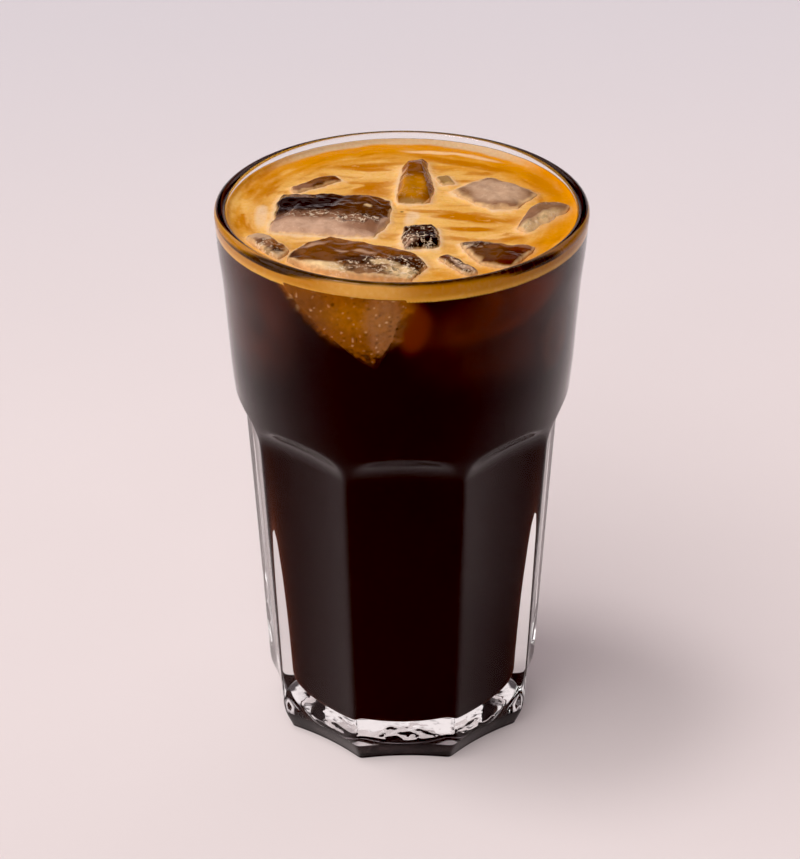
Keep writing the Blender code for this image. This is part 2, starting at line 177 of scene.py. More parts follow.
# Looks of each lump. Base is its tone all over and behind is what shows at the back of its place;
# melt says how uneven it is, cling how far the crema reaches over its edge in millimetres, and
# seed starts its noise.
# Spots are a tone, the place in millimetres, half the length and width, the turn in degrees and
# the strength; crackle is the same without a tone; facets are a point on the lump's skin and the
# way that the facet looks.
ICE_LOOKS = {
    "ice_left": dict(
        base="brown", behind="brown", melt=2.0, cling=0.9, seed=3,
        # The frost spot on the right end face, at -3 and -7.5, is painted light that makes the face lighter
        spots=(("dark", -21, 2.6, 14, 6.0, 0, 1), ("dark", -27.5, -1.5, 5, 5.5, 0, 0.85),
               ("brown", -6.5, 0, 8, 8, 0, 0.9), ("mist", -18, -6.5, 13, 3.6, -8, 0.8),
               ("frost", -19.5, -10.8, 13, 4.6, -8, 0.95), ("mist", -8, -11.5, 6, 3.2, -15, 0.7),
               ("frost", -12, -13.5, 6, 2.4, -8, 0.8), ("frost", -3.0, -7.5, 6.4, 1.9, 68, 0.8),
               ("crumb", -7.5, 0.1, 0.9, 0.8, 0, 0.7), ("mist", -23, 6.5, 3.4, 0.9, 4, 0.6)),
        crackle=((-12.5, -6.5, 4, 2.6, 0, 0.85), (-7.5, -7, 3, 2.6, 0, 0.8), (-20.5, -4, 6, 1.9, 0, 0.7)),
        facets=(((-4.4, -8.0, 131.0), (0.80, -0.33, 0.50)), ((-27.6, -2.0, 131.0), (-0.75, 0.1, 0.66)),
                ((-15.0, 7.0, 131.2), (0.08, 0.75, 0.66)), ((-17.0, -12.0, 130.6), (-0.1, -0.6, 0.8)))),
    "ice_front": dict(
        base="umber", behind="amber", melt=1.5, cling=0.8, seed=5,
        # The three small frost spots on the back-left edge, near -19, -13.5 and -9, are painted highlights
        spots=(("dark", -25, -26, 3, 3, 0, 0.8), ("grey", -7, -33.4, 7, 3.6, -12, 0.9),
               ("dark", -9, -29.2, 6, 2.0, -12, 0.75), ("dark", 1.6, -29.8, 4.5, 3.4, -20, 0.8),
               ("crumb", -17.6, -31.8, 5.4, 2.6, -14, 0.95), ("crumb", 0.4, -34.2, 4.6, 2.6, -8, 0.9),
               ("crumb", -4.0, -30.4, 3.6, 1.2, -12, 0.75), ("frost", -19.2, -20.8, 2.6, 0.9, 20, 0.6),
               ("frost", -13.5, -24.6, 1.6, 0.8, 0, 0.6), ("frost", -8.8, -24.9, 2.8, 0.8, -20, 0.6)),
        crackle=((-1.5, -31.5, 9, 5, -12, 0.88), (-12.5, -31.5, 4, 2.6, 0, 0.8)),
        facets=(((-18.0, -17.5, 131.2), (-0.35, 0.65, 0.66)), ((3.5, -27.5, 131.2), (0.75, 0.25, 0.6)))),
    "ice_back": dict(
        base="amber", behind="amber", melt=1.5, cling=0.6, seed=7,
        # The glowing spot is painted light inside the ice; the two small frost spots are painted highlights
        # on its edges
        spots=(("umber", 5.0, 20.5, 4, 4.5, 0, 0.35), ("painted_glow", 2.4, 9.6, 3.8, 6.4, 0, 1.0),
               ("olive", 1.8, 2.6, 3.6, 1.8, 0, 0.85), ("frost", 0.2, 20.6, 1.7, 0.8, 20, 0.6),
               ("frost", 7.1, 16.5, 0.7, 4.2, 0, 0.6), ("mist", -1.2, 13, 0.8, 6, 0, 0.5)),
        crackle=((2.4, 6.0, 3, 3.0, 0, 0.2),),
        facets=(((0.4, 12.0, 131.3), (-0.78, 0.1, 0.62)), ((6.0, 13.0, 131.3), (0.72, 0.05, 0.69)),
                ((3.0, 4.5, 131.0), (-0.1, -0.7, 0.7)))),
    "ice_back_right": dict(
        base="grey", behind="brown", melt=1.8, cling=2.6, seed=9,
        spots=(("cloud", 20.5, 7.6, 8.5, 5.0, -25, 0.95), ("grey", 13.0, 7.0, 3.6, 4.6, 0, 0.95),
               ("cloud", 22.5, 11.6, 7, 2.0, -25, 0.7), ("mist", 24, -0.6, 5, 2.6, -40, 0.6)),
        crackle=(),
        facets=(((13.5, 7.5, 130.6), (-0.7, -0.3, 0.65)), ((22.0, 1.0, 130.7), (0.1, -0.66, 0.75)))),
    "ice_right": dict(
        base="grey", behind="brown", melt=1.6, cling=1.0, seed=11,
        spots=(("crumb", 31.2, -8.0, 7.5, 2.4, 43, 0.95), ("dark", 30.5, 0.6, 7, 1.0, 22, 0.45),
               ("mist", 27.6, -6, 3, 4, 0, 0.5)),
        crackle=((31, 0.4, 6, 1.6, 20, 0.7), (31.2, -8.0, 7, 2.0, 43, 0.5)),
        facets=(((30.8, -7.0, 130.9), (0.5, -0.5, 0.7)), ((26.0, -6.5, 131.0), (-0.8, 0.0, 0.6)))),
    "ice_centre": dict(
        base="dark", behind="dark", melt=1.8, cling=0.6, seed=13,
        spots=(("mist", 1.0, -17.8, 3, 3, 0, 0.6), ("frost", 0.6, -19.6, 2.6, 1.0, 20, 0.5)),
        crackle=((3.6, -15.5, 6, 7, 0, 0.8),),
        facets=(((0.8, -16.0, 131.2), (-0.72, -0.1, 0.68)), ((7.0, -14.5, 131.2), (0.75, 0.1, 0.65)),
                ((3.6, -19.0, 131.0), (0.1, -0.75, 0.65)))),
    "ice_front_right": dict(
        base="red", behind="brown", melt=1.8, cling=1.9, seed=15,
        # The small froth spot at 14 and -20.6 is a painted highlight
        spots=(("dark", 15.8, -19.4, 4.6, 2.4, -6, 0.85), ("grey", 12.4, -23.2, 3.0, 3.4, 30, 0.8),
               ("umber", 18.5, -24.0, 4.6, 3.4, 0, 0.7), ("amber", 17.6, -29.6, 3.2, 1.6, 0, 0.7),
               ("mist", 28.0, -20.4, 4.6, 1.3, 8, 0.7), ("froth", 14.0, -20.6, 1.5, 0.7, 10, 0.5)),
        crackle=((15.5, -20, 4, 2, 0, 0.4),),
        facets=(((20.0, -17.8, 130.7), (0.05, 0.7, 0.7)), ((13.0, -22.5, 130.8), (-0.7, -0.2, 0.68)))),
    "ice_front_left": dict(
        base="umber", behind="dark", melt=2.0, cling=2.2, seed=17,
        spots=(("dark", -28.4, -22.5, 3, 3, 0, 0.8), ("froth", -31.4, -15.0, 3.5, 1.6, -50, 0.6),
               ("froth", -26.4, -24.5, 1.6, 2.4, 0, 0.6), ("mist", -30.5, -19, 4, 1.4, -55, 0.7)),
        crackle=((-29.5, -20, 4, 4, 0, 0.6),), facets=()),
    "ice_sliver": dict(
        base="dark", behind="dark", melt=1.5, cling=0.7, seed=19,
        spots=(("frost", 12.4, -29.8, 4.6, 0.9, -50, 0.75), ("red", 9.4, -25.6, 2, 1.6, 0, 0.7)),
        crackle=((12, -29.5, 5, 2, -50, 0.8),), facets=()),
    "ice_far_left": dict(
        base="umber", behind="dark", melt=1.6, cling=1.5, seed=21,
        spots=(("red", -14.4, 15.6, 2.2, 1.8, 30, 0.95), ("mist", -22.5, 11.6, 4, 1.6, 32, 0.8),
               ("dark", -17.5, 13.8, 3, 1.2, 32, 0.6)),
        crackle=(), facets=()),
    "ice_chip": dict(
        base="olive", behind="brown", melt=1.6, cling=1.0, seed=23,
        spots=(("umber", 8.6, 14.2, 1.5, 1.5, 0, 0.6),), crackle=(), facets=()),
}

# The lump that lies against the wall, and what shows of it by place from left to right and height;
# its glowing spots are painted light
WALL_ICE = "ice_front"
WALL_SPOTS = (
    ("umber", -20.0, 122, 6, 6, 0, 0.6), ("painted_glow", -9.5, 122.5, 8, 3.6, 0, 0.3),
    ("tan", -3.6, 120.5, 5.0, 9.0, 10, 0.6), ("painted_glow", 0.6, 121, 1.5, 6, 0, 0.25),
)

# Painted light: where light glows red or dim in the coffee under the crema, by degrees round the
# glass from its front and height
COFFEE_SPOTS = (
    ("painted_dim_glow", 38, 117, 34, 14, 0, 0.7), ("painted_ember_glow", 34, 122, 24, 6, 8, 0.6),
    ("painted_ember_glow", 3, 121.5, 5.5, 7, 0, 0.75), ("painted_dim_glow", -62, 116, 26, 16, 0, 0.8),
    ("painted_dim_glow", -40, 125, 20, 5, 0, 0.5), ("painted_ember_glow", 60, 108, 9, 7, 0, 0.35),
    ("painted_dim_glow", 150, 115, 60, 14, 0, 0.7), ("painted_dim_glow", -150, 115, 50, 14, 0, 0.7),
)

# Streaks and clouds of the crema, in the same way as the spots of the ice; the two glare spots are
# a painted highlight, the reflection of a light on the foam by the back wall
CREMA_SPOTS = (
    ("light", 0, 4, 30, 22, 0, 0.55), ("light", -18, 17, 13, 5, 30, 0.7),
    ("orange", -20, 27.5, 10, 2.2, 38, 0.35), ("cream", -5, 21, 8, 3, 10, 0.55),
    ("rust", -5.5, 13.6, 6.5, 1.6, 28, 0.9), ("cream", -33, -2, 3, 9, 10, 0.55),
    ("froth", -31.4, -2, 1.6, 6, 0, 0.7), ("cream", -14, -15.5, 16, 2.6, -10, 0.75),
    ("cream", 5, -3, 5, 6, 0, 0.85), ("froth", 2.2, -3, 1.6, 5, -15, 0.5),
    ("rust", 15.0, -3.8, 9.0, 1.9, -14, 1.0), ("light", 12, -7.2, 8, 1.1, -12, 0.6),
    ("rust", 6.0, 0.2, 6.0, 0.9, -10, 0.9), ("rust", 14.6, -9.6, 5.6, 1.3, -6, 0.95),
    ("rust", 26.5, -6.5, 4.5, 2.0, -25, 0.8), ("cream", 10.4, -14.4, 3.6, 2.8, 0, 0.8),
    ("light", 16, -12.8, 9, 1.6, 0, 0.7), ("orange", 36.2, -3.6, 2.4, 4.5, 0, 0.85),
    ("cream", 22, -13.4, 7, 1.6, 12, 0.6), ("cream", 5.0, -25, 3, 6, 20, 0.7),
    ("orange", 5.8, -29.4, 1.0, 3.4, 24, 0.8), ("light", 10, 11, 2.4, 7, 0, 0.8),
    ("light", 16, 21, 7, 2, -10, 0.5), ("rust", 15, 26.0, 13, 1.6, -25, 0.9),
    ("painted_glare", 8.0, 33.0, 7.5, 0.9, -8, 0.9), ("painted_glare", 17.5, 30.2, 7, 0.9, -27, 0.9),
    ("orange", 12, 23.5, 7, 1.4, -12, 0.5),
    ("rust", 33.5, 14, 3, 9, 22, 0.6), ("rust", -31, 15, 2.0, 9, -20, 0.5),
    ("rust", -8, 25.5, 9, 1.2, 8, 0.7), ("light", -24, 12, 6, 2.2, 30, 0.7),
)


class GlassSettings(bpy.types.PropertyGroup):
    """Sizes and finish of the pressed glass."""

    edge_softness: bpy.props.FloatProperty(
        name="Edge Softness", description="How far the cut edges are melted round",
        default=0.30 * MM, min=0.02 * MM, max=2.0 * MM, unit="LENGTH", precision=5)
    ripple: bpy.props.FloatProperty(
        name="Ripple", description="Height of the slow waves that pressing leaves in the wall",
        default=0.035 * MM, min=0.0, max=0.5 * MM, unit="LENGTH", precision=6)
    base_ripple: bpy.props.FloatProperty(
        name="Base Ripple", description="Height of the waves in the thick base",
        default=0.07 * MM, min=0.0, max=1.0 * MM, unit="LENGTH", precision=6)
    recess: bpy.props.FloatProperty(
        name="Recess", description="Depth of the hollow under the base",
        default=2.6 * MM, min=0.0, max=3.0 * MM, unit="LENGTH", precision=5)
    tint: bpy.props.FloatVectorProperty(
        name="Tint", description="Colour that the glass gives to light that passes",
        default=(0.985, 0.99, 0.985), size=3, min=0.0, max=1.0, subtype="COLOR")
    ior: bpy.props.FloatProperty(
        name="Refractive Index", description="How strongly the glass bends light",
        default=1.5, min=1.0, max=2.0)
    gloss: bpy.props.FloatProperty(
        name="Gloss", description="Share of a plain glass's reflection that is kept",
        default=0.31, min=0.0, max=1.0)


class DrinkSettings(bpy.types.PropertyGroup):
    """How the coffee and its crema meet the glass."""

    wall_reach: bpy.props.FloatProperty(
        name="Wall Reach", description="How far the drink reaches into the glass wall",
        default=0.2 * MM, min=0.0, max=1.0 * MM, unit="LENGTH", precision=5)
    floor_gap: bpy.props.FloatProperty(
        name="Floor Gap", description="Room under the coffee, which makes the base reflect like a prism",
        default=0.05 * MM, min=0.0, max=1.0 * MM, unit="LENGTH", precision=6)
    climb: bpy.props.FloatProperty(
        name="Climb", description="How high the crema climbs the wall",
        default=0.7 * MM, min=0.0, max=2.0 * MM, unit="LENGTH", precision=5)
    film: bpy.props.FloatProperty(
        name="Film", description="Height of the thin film left on the wall above the crema",
        default=0.35 * MM, min=0.0, max=2.0 * MM, unit="LENGTH", precision=5)


class IceSettings(bpy.types.PropertyGroup):
    """Shape and finish of the ice."""

    voxel: bpy.props.FloatProperty(
        name="Fineness", description="Size of the ice's mesh cells",
        default=0.34 * MM, min=0.1 * MM, max=2.0 * MM, unit="LENGTH", precision=5)
    melt: bpy.props.FloatProperty(
        name="Melt", description="Height of the slow unevenness of melted ice",
        default=0.42 * MM, min=0.0, max=2.0 * MM, unit="LENGTH", precision=5)
    crease: bpy.props.FloatProperty(
        name="Crease", description="Height of the sharp creases",
        default=0.42 * MM, min=0.0, max=2.0 * MM, unit="LENGTH", precision=5)
    clarity: bpy.props.FloatProperty(
        name="Clarity", description="Share of light that clear ice lets through",
        default=0.5, min=0.0, max=1.0)
    gloss: bpy.props.FloatProperty(
        name="Gloss", description="Share of plain ice's reflection that is kept",
        default=0.42, min=0.0, max=1.0)


class StageSettings(bpy.types.PropertyGroup):
    """Floor, light and camera."""

    floor: bpy.props.FloatVectorProperty(
        name="Floor", description="Colour of the floor",
        default=(0.86, 0.755, 0.755), size=3, min=0.0, max=1.0, subtype="COLOR")
    key: bpy.props.FloatProperty(
        name="Key Light", description="Strength of the soft light from the left",
        default=2.75, min=0.0, max=20.0)
    top: bpy.props.FloatProperty(
        name="Top Light", description="Strength of the soft light from above",
        default=0.55, min=0.0, max=20.0)
    black: bpy.props.FloatProperty(
        name="Black Level", description="Light below which the picture is black",
        default=0.012, min=0.0, max=0.2, precision=3)
    distance: bpy.props.FloatProperty(
        name="Camera Distance", description="From the camera to the middle of the glass",
        default=609.7 * MM, min=0.1, max=5.0, unit="LENGTH")
    elevation: bpy.props.FloatProperty(
        name="Camera Elevation", description="Angle of the camera above the horizon",
        default=math.radians(29.773), min=0.0, max=1.57, subtype="ANGLE")


def settings(context):
    """The drink's settings, which are kept on the scene."""
    return context.scene.iced_coffee


def in_metres(table):
    """Radii and heights of a table in metres, as two arrays."""
    values = np.array(table) * MM
    return values[:, 0], values[:, 1]


def ease(low, high, value):
    """Smooth step from 0 at low to 1 at high."""
    share = np.clip((value - low) / (high - low), 0.0, 1.0)
    return share * share * (3.0 - 2.0 * share)


def smooth_curve(places, values, at):
    """Curve through points that never overshoots them, read at given places."""
    widths = np.diff(places)
    slopes = np.diff(values) / widths
    inner = np.zeros_like(values)
    same = slopes[:-1] * slopes[1:] > 0
    mean = 2.0 * slopes[:-1] * slopes[1:] / np.where(same, slopes[:-1] + slopes[1:], 1.0)
    inner[1:-1] = np.where(same, mean, 0.0)
    inner[0], inner[-1] = slopes[0], slopes[-1]
    cell = np.clip(np.searchsorted(places, at) - 1, 0, len(widths) - 1)
    share = np.clip((at - places[cell]) / widths[cell], 0.0, 1.0)
    square, cube = share ** 2, share ** 3
    bend = widths[cell] * inner[cell]
    next_bend = widths[cell] * inner[cell + 1]
    start = (2 * cube - 3 * square + 1) * values[cell] + (cube - 2 * square + share) * bend
    end = (3 * square - 2 * cube) * values[cell + 1] + (cube - square) * next_bend
    return start + end


def noise(points, size, seed):
    """Smooth noise from about -1 to 1 at an array of points, with bumps of one size."""
    draw = np.random.default_rng(seed)
    table = draw.permutation(256)
    slopes = draw.normal(size=(256, 3))
    slopes /= np.linalg.norm(slopes, axis=1)[:, None]
    scaled = np.asarray(points) / size + 100.0
    cell = np.floor(scaled).astype(int)
    inside = scaled - cell
    fade = inside ** 3 * (inside * (inside * 6.0 - 15.0) + 10.0)
    total = np.zeros(len(scaled))
    for corner in itertools.product((0, 1), repeat=3):
        place = (cell + corner) & 255
        index = table[(table[(table[place[:, 0]] + place[:, 1]) & 255] + place[:, 2]) & 255]
        height = ((inside - corner) * slopes[index]).sum(1)
        weight = np.where(np.array(corner) == 1, fade, 1.0 - fade).prod(1)
        total += weight * height
    return total * 1.6


def fractal(points, size, octaves, seed):
    """Sum of noises, each half as large and half as high as the last."""
    total = np.zeros(len(points))
    for octave in range(octaves):
        total += noise(points, size / 2 ** octave, seed + octave) / 2 ** octave
    return total / (2.0 - 2.0 ** (1 - octaves))


def arc(centre, radius, start, stop, count):
    """Radii and heights of a round stretch, angles in degrees from the outward axis."""
    angles = np.radians(np.linspace(start, stop, count))
    return centre[0] + radius * np.cos(angles), centre[1] + radius * np.sin(angles)


def inner_radius(height):
    """Inner radius of the glass at heights, down to the floor's fillet."""
    radii, heights = in_metres(INNER_WALL)
    radii = np.append(radii, RIM_RADIUS - 2 * LIP_RADIUS)
    heights = np.append(heights, HEIGHT - LIP_RADIUS)
    height = np.asarray(height, float)
    wall = smooth_curve(heights, radii, np.clip(height, heights[0], heights[-1]))
    drop = np.clip(FLOOR_LEVEL + FLOOR_FILLET - height, 0.0, FLOOR_FILLET)
    corner = FLOOR_RADIUS + np.sqrt(FLOOR_FILLET ** 2 - drop ** 2)
    return np.where(height < heights[0], corner, wall)


def arris_radius(height):
    """Radius at which two neighbouring flutes meet."""
    centre = FLUTE_BASE + FLUTE_LEAN * height + FLUTE_RADIUS
    reach = centre * math.cos(math.pi / FLUTES)
    return reach - np.sqrt(reach * reach - centre * centre + FLUTE_RADIUS ** 2)


def outer_radius(height):
    """Radius of the turned glass before its flutes are cut."""
    radii, heights = in_metres(OUTER_WALL)
    low = np.array([0.0, LAND_TOP])
    radii = np.concatenate([arris_radius(low) - ARRIS_LAND, radii, [RIM_RADIUS]])
    heights = np.concatenate([low, heights, [HEIGHT - LIP_RADIUS]])
    return smooth_curve(heights, radii, height)


def flute_distance(radius, turn, height, base, lean, scooped):
    """Distance inside a flute's surface, for points by radius, angle from its middle, height."""
    tilt = math.atan(lean)
    across = radius * np.sin(turn)
    outward = radius * np.cos(turn) - (base + FLUTE_RADIUS * math.cos(tilt))
    upward = height + FLUTE_RADIUS * math.sin(tilt)
    along = outward * math.sin(tilt) + upward * math.cos(tilt)
    off = outward * math.cos(tilt) - upward * math.sin(tilt)
    reach = FLUTE_RADIUS
    if scooped:
        past = np.clip(along - SCOOP_START, 0.0, None)
        bend = SCOOP_RADIUS - np.sqrt(np.clip(SCOOP_RADIUS ** 2 - past ** 2, 0.0, None))
        reach = FLUTE_RADIUS - bend - 4.0 * np.clip(past - SCOOP_RADIUS, 0.0, None)
    return np.hypot(across, off) - reach


def cut_radius(turns, heights, softness):
    """Radius of the cut glass on a grid of heights and of angles from a flute's middle."""
    turn, height = np.meshgrid(turns, heights)
    wall = outer_radius(height.ravel()).reshape(height.shape)
    low = np.full_like(wall, 15.0 * MM)
    high = wall.copy() + 1.0 * MM
    for _ in range(30):
        middle = (low + high) / 2
        distances = [wall - middle]
        for neighbour in (-1, 0, 1):
            local = turn - neighbour * math.tau / FLUTES
            distances.append(flute_distance(middle, local, height, FLUTE_BASE, FLUTE_LEAN, True))
            distances.append(flute_distance(middle, local, height, FOOT_BASE, FOOT_LEAN, False))
        inside = -softness * np.logaddexp.reduce([-d / softness for d in distances]) > 0
        low = np.where(inside, middle, low)
        high = np.where(inside, high, middle)
    return (low + high) / 2


def new_object(name, mesh):
    """Put a mesh in the scene under its piece's name."""
    thing = bpy.data.objects.new(name, mesh)
    bpy.context.scene.collection.objects.link(thing)
    return thing


def ring_mesh(name, rows, capped=(True, True)):
    """Smooth mesh through rings of points that run up its outer side; a capped end is closed."""
    count, columns = rows.shape[:2]
    points = rows.reshape(-1, 3)
    first = np.arange(count - 1)[:, None] * columns
    column = np.arange(columns)[None, :]
    after = (column + 1) % columns
    above = first + columns
    quads = np.stack([first + column, first + after, above + after, above + column], -1)
    faces = quads.reshape(-1, 4).tolist()
    extra = []
    for end, row in ((0, 0), (1, count - 1)):
        if capped[end]:
            extra.append(rows[row].mean(0))
            hub = len(points) + len(extra) - 1
            edge = [row * columns + step for step in range(columns)]
            turned = edge if end else edge[::-1]
            faces += [[hub, a, b] for a, b in zip(turned, turned[1:] + turned[:1])]
    if extra:
        points = np.vstack([points, extra])
    mesh = bpy.data.meshes.new(name)
    mesh.from_pydata(points.tolist(), [], faces)
    mesh.shade_smooth()
    return mesh


def even_angles(count):
    """Even angles all round the axis."""
    return np.linspace(0.0, math.tau, count, endpoint=False)


def turned_rows(radii, heights, angles):
    """Rings of points for a turned profile."""
    radii, heights = (part[:, None] if part.ndim == 1 else part for part in (radii, heights))
    return np.stack(np.broadcast_arrays(radii * np.sin(angles), -radii * np.cos(angles), heights), -1)


def steps(start, stop, count):
    """Even steps from start to stop, without the first."""
    return np.linspace(start, stop, count)[1:]


def layer_values(data, key, width):
    """A layer of a mesh as an array with a row for each of its points."""
    flat = np.empty(len(data) * width, np.float32)
    data.foreach_get(key, flat)
    return flat.reshape(-1, width).astype(float)


def positions(mesh):
    """A mesh's points as an array."""
    return layer_values(mesh.vertices, "co", 3)


def from_axis(points):
    """Distance of points from the glass's axis."""
    return np.hypot(points[:, 0], points[:, 1])


def from_front(points):
    """Degrees of points round the glass's axis, from its front to the right."""
    return np.degrees(np.arctan2(points[:, 0], -points[:, 1]))


def flattened(points):
    """Points moved down to the floor."""
    return points * (1.0, 1.0, 0.0)


def set_positions(mesh, points):
    """Write points back to a mesh."""
    mesh.vertices.foreach_set("co", points.astype(np.float32).ravel())
    mesh.update()


def normals(mesh):
    """A mesh's point normals as an array."""
    return layer_values(mesh.vertex_normals, "vector", 3)


def set_mask(mesh, name, values):
    """Store one number for each point, for the material to read."""
    layer = mesh.attributes.new(name, "FLOAT", "POINT")
    layer.data.foreach_set("value", np.clip(values, 0.0, 1.0).astype(np.float32))


def baked(thing):
    """Replace an object's mesh by what its modifiers make of it."""
    bpy.context.view_layer.update()
    graph = bpy.context.evaluated_depsgraph_get()
    mesh = bpy.data.meshes.new_from_object(thing.evaluated_get(graph))
    mesh.name = thing.name
    old = thing.data
    thing.modifiers.clear()
    thing.data = mesh
    bpy.data.meshes.remove(old)
    return mesh


def spot_share(x, y, spot):
    """Strength of one soft spot at places in millimetres."""
    at_x, at_y, length, width, turn, strength = spot
    cosine, sine = math.cos(math.radians(turn)), math.sin(math.radians(turn))
    along = ((x - at_x) * cosine + (y - at_y) * sine) / length
    across = ((y - at_y) * cosine - (x - at_x) * sine) / width
    return strength * ease(1.25, 0.6, np.hypot(along, across))


def lay(colour, share, tone):
    """Lay a tone over colours, by its share at each point."""
    colour += np.reshape(share, (-1, 1)) * (TONES[tone] - colour)


def painted(x, y, base, spots):
    """Tones at places in millimetres: one all over, then soft spots of others laid on it."""
    colour = np.tile(base, (len(x), 1)) if base.ndim == 1 else base.copy()
    for tone, *spot in spots:
        lay(colour, spot_share(x, y, spot), tone)
    return colour


def set_paint(mesh, colours):
    """Store a colour and a cloudiness for each point."""
    layer = mesh.color_attributes.new("paint", "FLOAT_COLOR", "POINT")
    layer.data.foreach_set("color", np.clip(colours, 0.0, 1.0).astype(np.float32).ravel())


def nearest_points(places, points):
    """Index of the nearest place to each point, and how far off it is."""
    tree = KDTree(len(places))
    for index, place in enumerate(places):
        tree.insert(place, index)
    tree.balance()
    found = [tree.find(point)[1:] for point in points]
    return np.array([index for index, _ in found]), np.array([distance for _, distance in found])


class Nodes:
    """Short way to build the nodes of a material or of the world."""

    def __init__(self, owner, kind="Material"):
        owner.use_nodes = True
        self.owner = owner
        self.tree = owner.node_tree
        self.tree.nodes.clear()
        self.output = self.tree.nodes.new("ShaderNodeOutput" + kind)

    def add(self, kind, inputs=None, **settings):
        """Add a node with its settings and its input values or links."""
        node = self.tree.nodes.new("ShaderNode" + kind)
        for name, value in settings.items():
            setattr(node, name, value)
        for name, value in (inputs or {}).items():
            self.feed(node.inputs[name], value)
        return node

    def feed(self, socket, value):
        """Link an output to an input, or set the input's value."""
        if isinstance(value, bpy.types.NodeSocket):
            self.tree.links.new(value, socket)
        elif isinstance(value, bpy.types.Node):
            self.tree.links.new(value.outputs[0], socket)
        elif hasattr(value, "__len__") and len(value) == 3 and len(socket.default_value) == 4:
            socket.default_value = (*value, 1.0)
        else:
            socket.default_value = value

    def position(self):
        """Place on the piece, in metres."""
        return self.add("TexCoord").outputs["Object"]

    def noise(self, size, detail=2.0, roughness=0.5, distortion=0.0, at=None):
        """Noise with bumps of a size in metres."""
        return self.add("TexNoise", {
            "Vector": at or self.position(), "Scale": 1.0 / size, "Detail": detail,
            "Roughness": roughness, "Distortion": distortion}).outputs[0]

    def cells(self, size, feature="F1", at=None):
        """Distance from the middles or edges of cells of a size in metres."""
        return self.add("TexVoronoi", {
            "Vector": at or self.position(), "Scale": 1.0 / size}, feature=feature).outputs["Distance"]

    def stirred(self, size, reach):
        """Place on the piece, pushed about by noise."""
        push = self.add("TexNoise", {"Vector": self.position(), "Scale": 1.0 / size, "Detail": 2.0})
        centred = self.add("VectorMath", {0: push.outputs["Color"], 1: (0.5, 0.5, 0.5)}, operation="SUBTRACT")
        scaled = self.add("VectorMath", {0: centred.outputs[0], "Scale": reach}, operation="SCALE")
        return self.add("VectorMath", {0: self.position(), 1: scaled.outputs[0]}, operation="ADD").outputs[0]

    def mask(self, name, output="Fac"):
        """A mask or colour stored on the mesh."""
        return self.add("Attribute", attribute_name=name).outputs[output]

    def ramp(self, value, low, high, start=0.0, end=1.0):
        """Smooth change from start to end as a value goes from low to high."""
        return self.add("MapRange", {
            "Value": value, "From Min": low, "From Max": high, "To Min": start, "To Max": end},
            interpolation_type="SMOOTHSTEP").outputs["Result"]

    def math(self, operation, first, second=0.0):
        """Arithmetic on two values."""
        return self.add("Math", {0: first, 1: second}, operation=operation).outputs[0]

    def times(self, first, second):
        """Product of two values."""
        return self.math("MULTIPLY", first, second)

    def blend(self, share, first, second, way="MIX"):
        """Mix of two colours, or their sum."""
        return self.add("Mix", {0: share, 6: first, 7: second}, data_type="RGBA", blend_type=way).outputs[2]

    def stops(self, value, colours):
        """Colour that changes with a value, by the places of its stops."""
        node = self.add("ValToRGB", {0: value})
        elements = node.color_ramp.elements
        while len(elements) < len(colours):
            elements.new(0.5)
        for element, (place, colour) in zip(elements, colours):
            element.position, element.color = place, (*colour, 1.0)
        return node.outputs[0]

    def bump(self, height, strength, distance):
        """Normal that follows a fine height."""
        return self.add("Bump", {"Height": height, "Strength": strength, "Distance": distance}).outputs[0]

    def finish(self, inputs, lets_light=None):
        """Close a material; lets_light is the share of a lamp's light that passes in each colour."""
        surface = self.add("BsdfPrincipled", inputs)
        if lets_light is not None:
            clear = self.add("BsdfTransparent", {"Color": lets_light})
            shadow = self.add("LightPath").outputs["Is Shadow Ray"]
            surface = self.add("MixShader", {0: shadow, 1: surface, 2: clear})
        self.feed(self.output.inputs["Surface"], surface)
        return self.owner


def glass_material(look):
    """Clear pressed glass with faint waves."""
    nodes = Nodes(bpy.data.materials.new("pressed_glass"))
    return nodes.finish({
        "Base Color": tuple(look.tint), "Transmission Weight": 1.0, "IOR": look.ior, "Roughness": 0.0,
        "Specular Tint": tuple(look.gloss * share for share in (1.12, 0.75, 0.75)),
        "Normal": nodes.bump(nodes.noise(7.0 * MM, 1.0), 0.15, 0.1 * MM)}, lets_light=(0.93, 0.94, 0.94))


def dark_bevel_material(look):
    """The glass of the foot's near bevel, nearly black: painted shade for the dark under the base that the
    bevel shows.
    """
    nodes = Nodes(bpy.data.materials.new("shaded_bevel_glass"))
    streak = nodes.ramp(nodes.noise(2.5 * MM, 3.0, 0.6, 0.8), 0.35, 0.72)
    return nodes.finish({
        "Base Color": nodes.blend(streak, (0.00008, 0.00004, 0.00004), (0.0030, 0.0016, 0.0015)),
        "Transmission Weight": 1.0, "IOR": look.ior, "Specular Tint": (0.07, 0.05, 0.05),
        "Roughness": 0.02}, lets_light=(0.80, 0.80, 0.80))


def coffee_material():
    """Black coffee, red-brown where it is thin, with painted red-brown light where light would get in under
    the crema.
    """
    nodes = Nodes(bpy.data.materials.new("black_coffee"))
    patch = nodes.ramp(nodes.noise(11.0 * MM, 3.0, 0.55), 0.35, 0.65, 0.0, 0.55)
    return nodes.finish({
        "Base Color": nodes.blend(patch, nodes.mask("paint", "Color"), TONES["coffee"][:3]),
        "Roughness": 0.15, "IOR": 1.33, "Specular IOR Level": 0.0, "Sheen Weight": 0.25,
        "Sheen Roughness": 0.3, "Sheen Tint": (0.85, 0.24, 0.12)}, lets_light=(0.52, 0.48, 0.52))


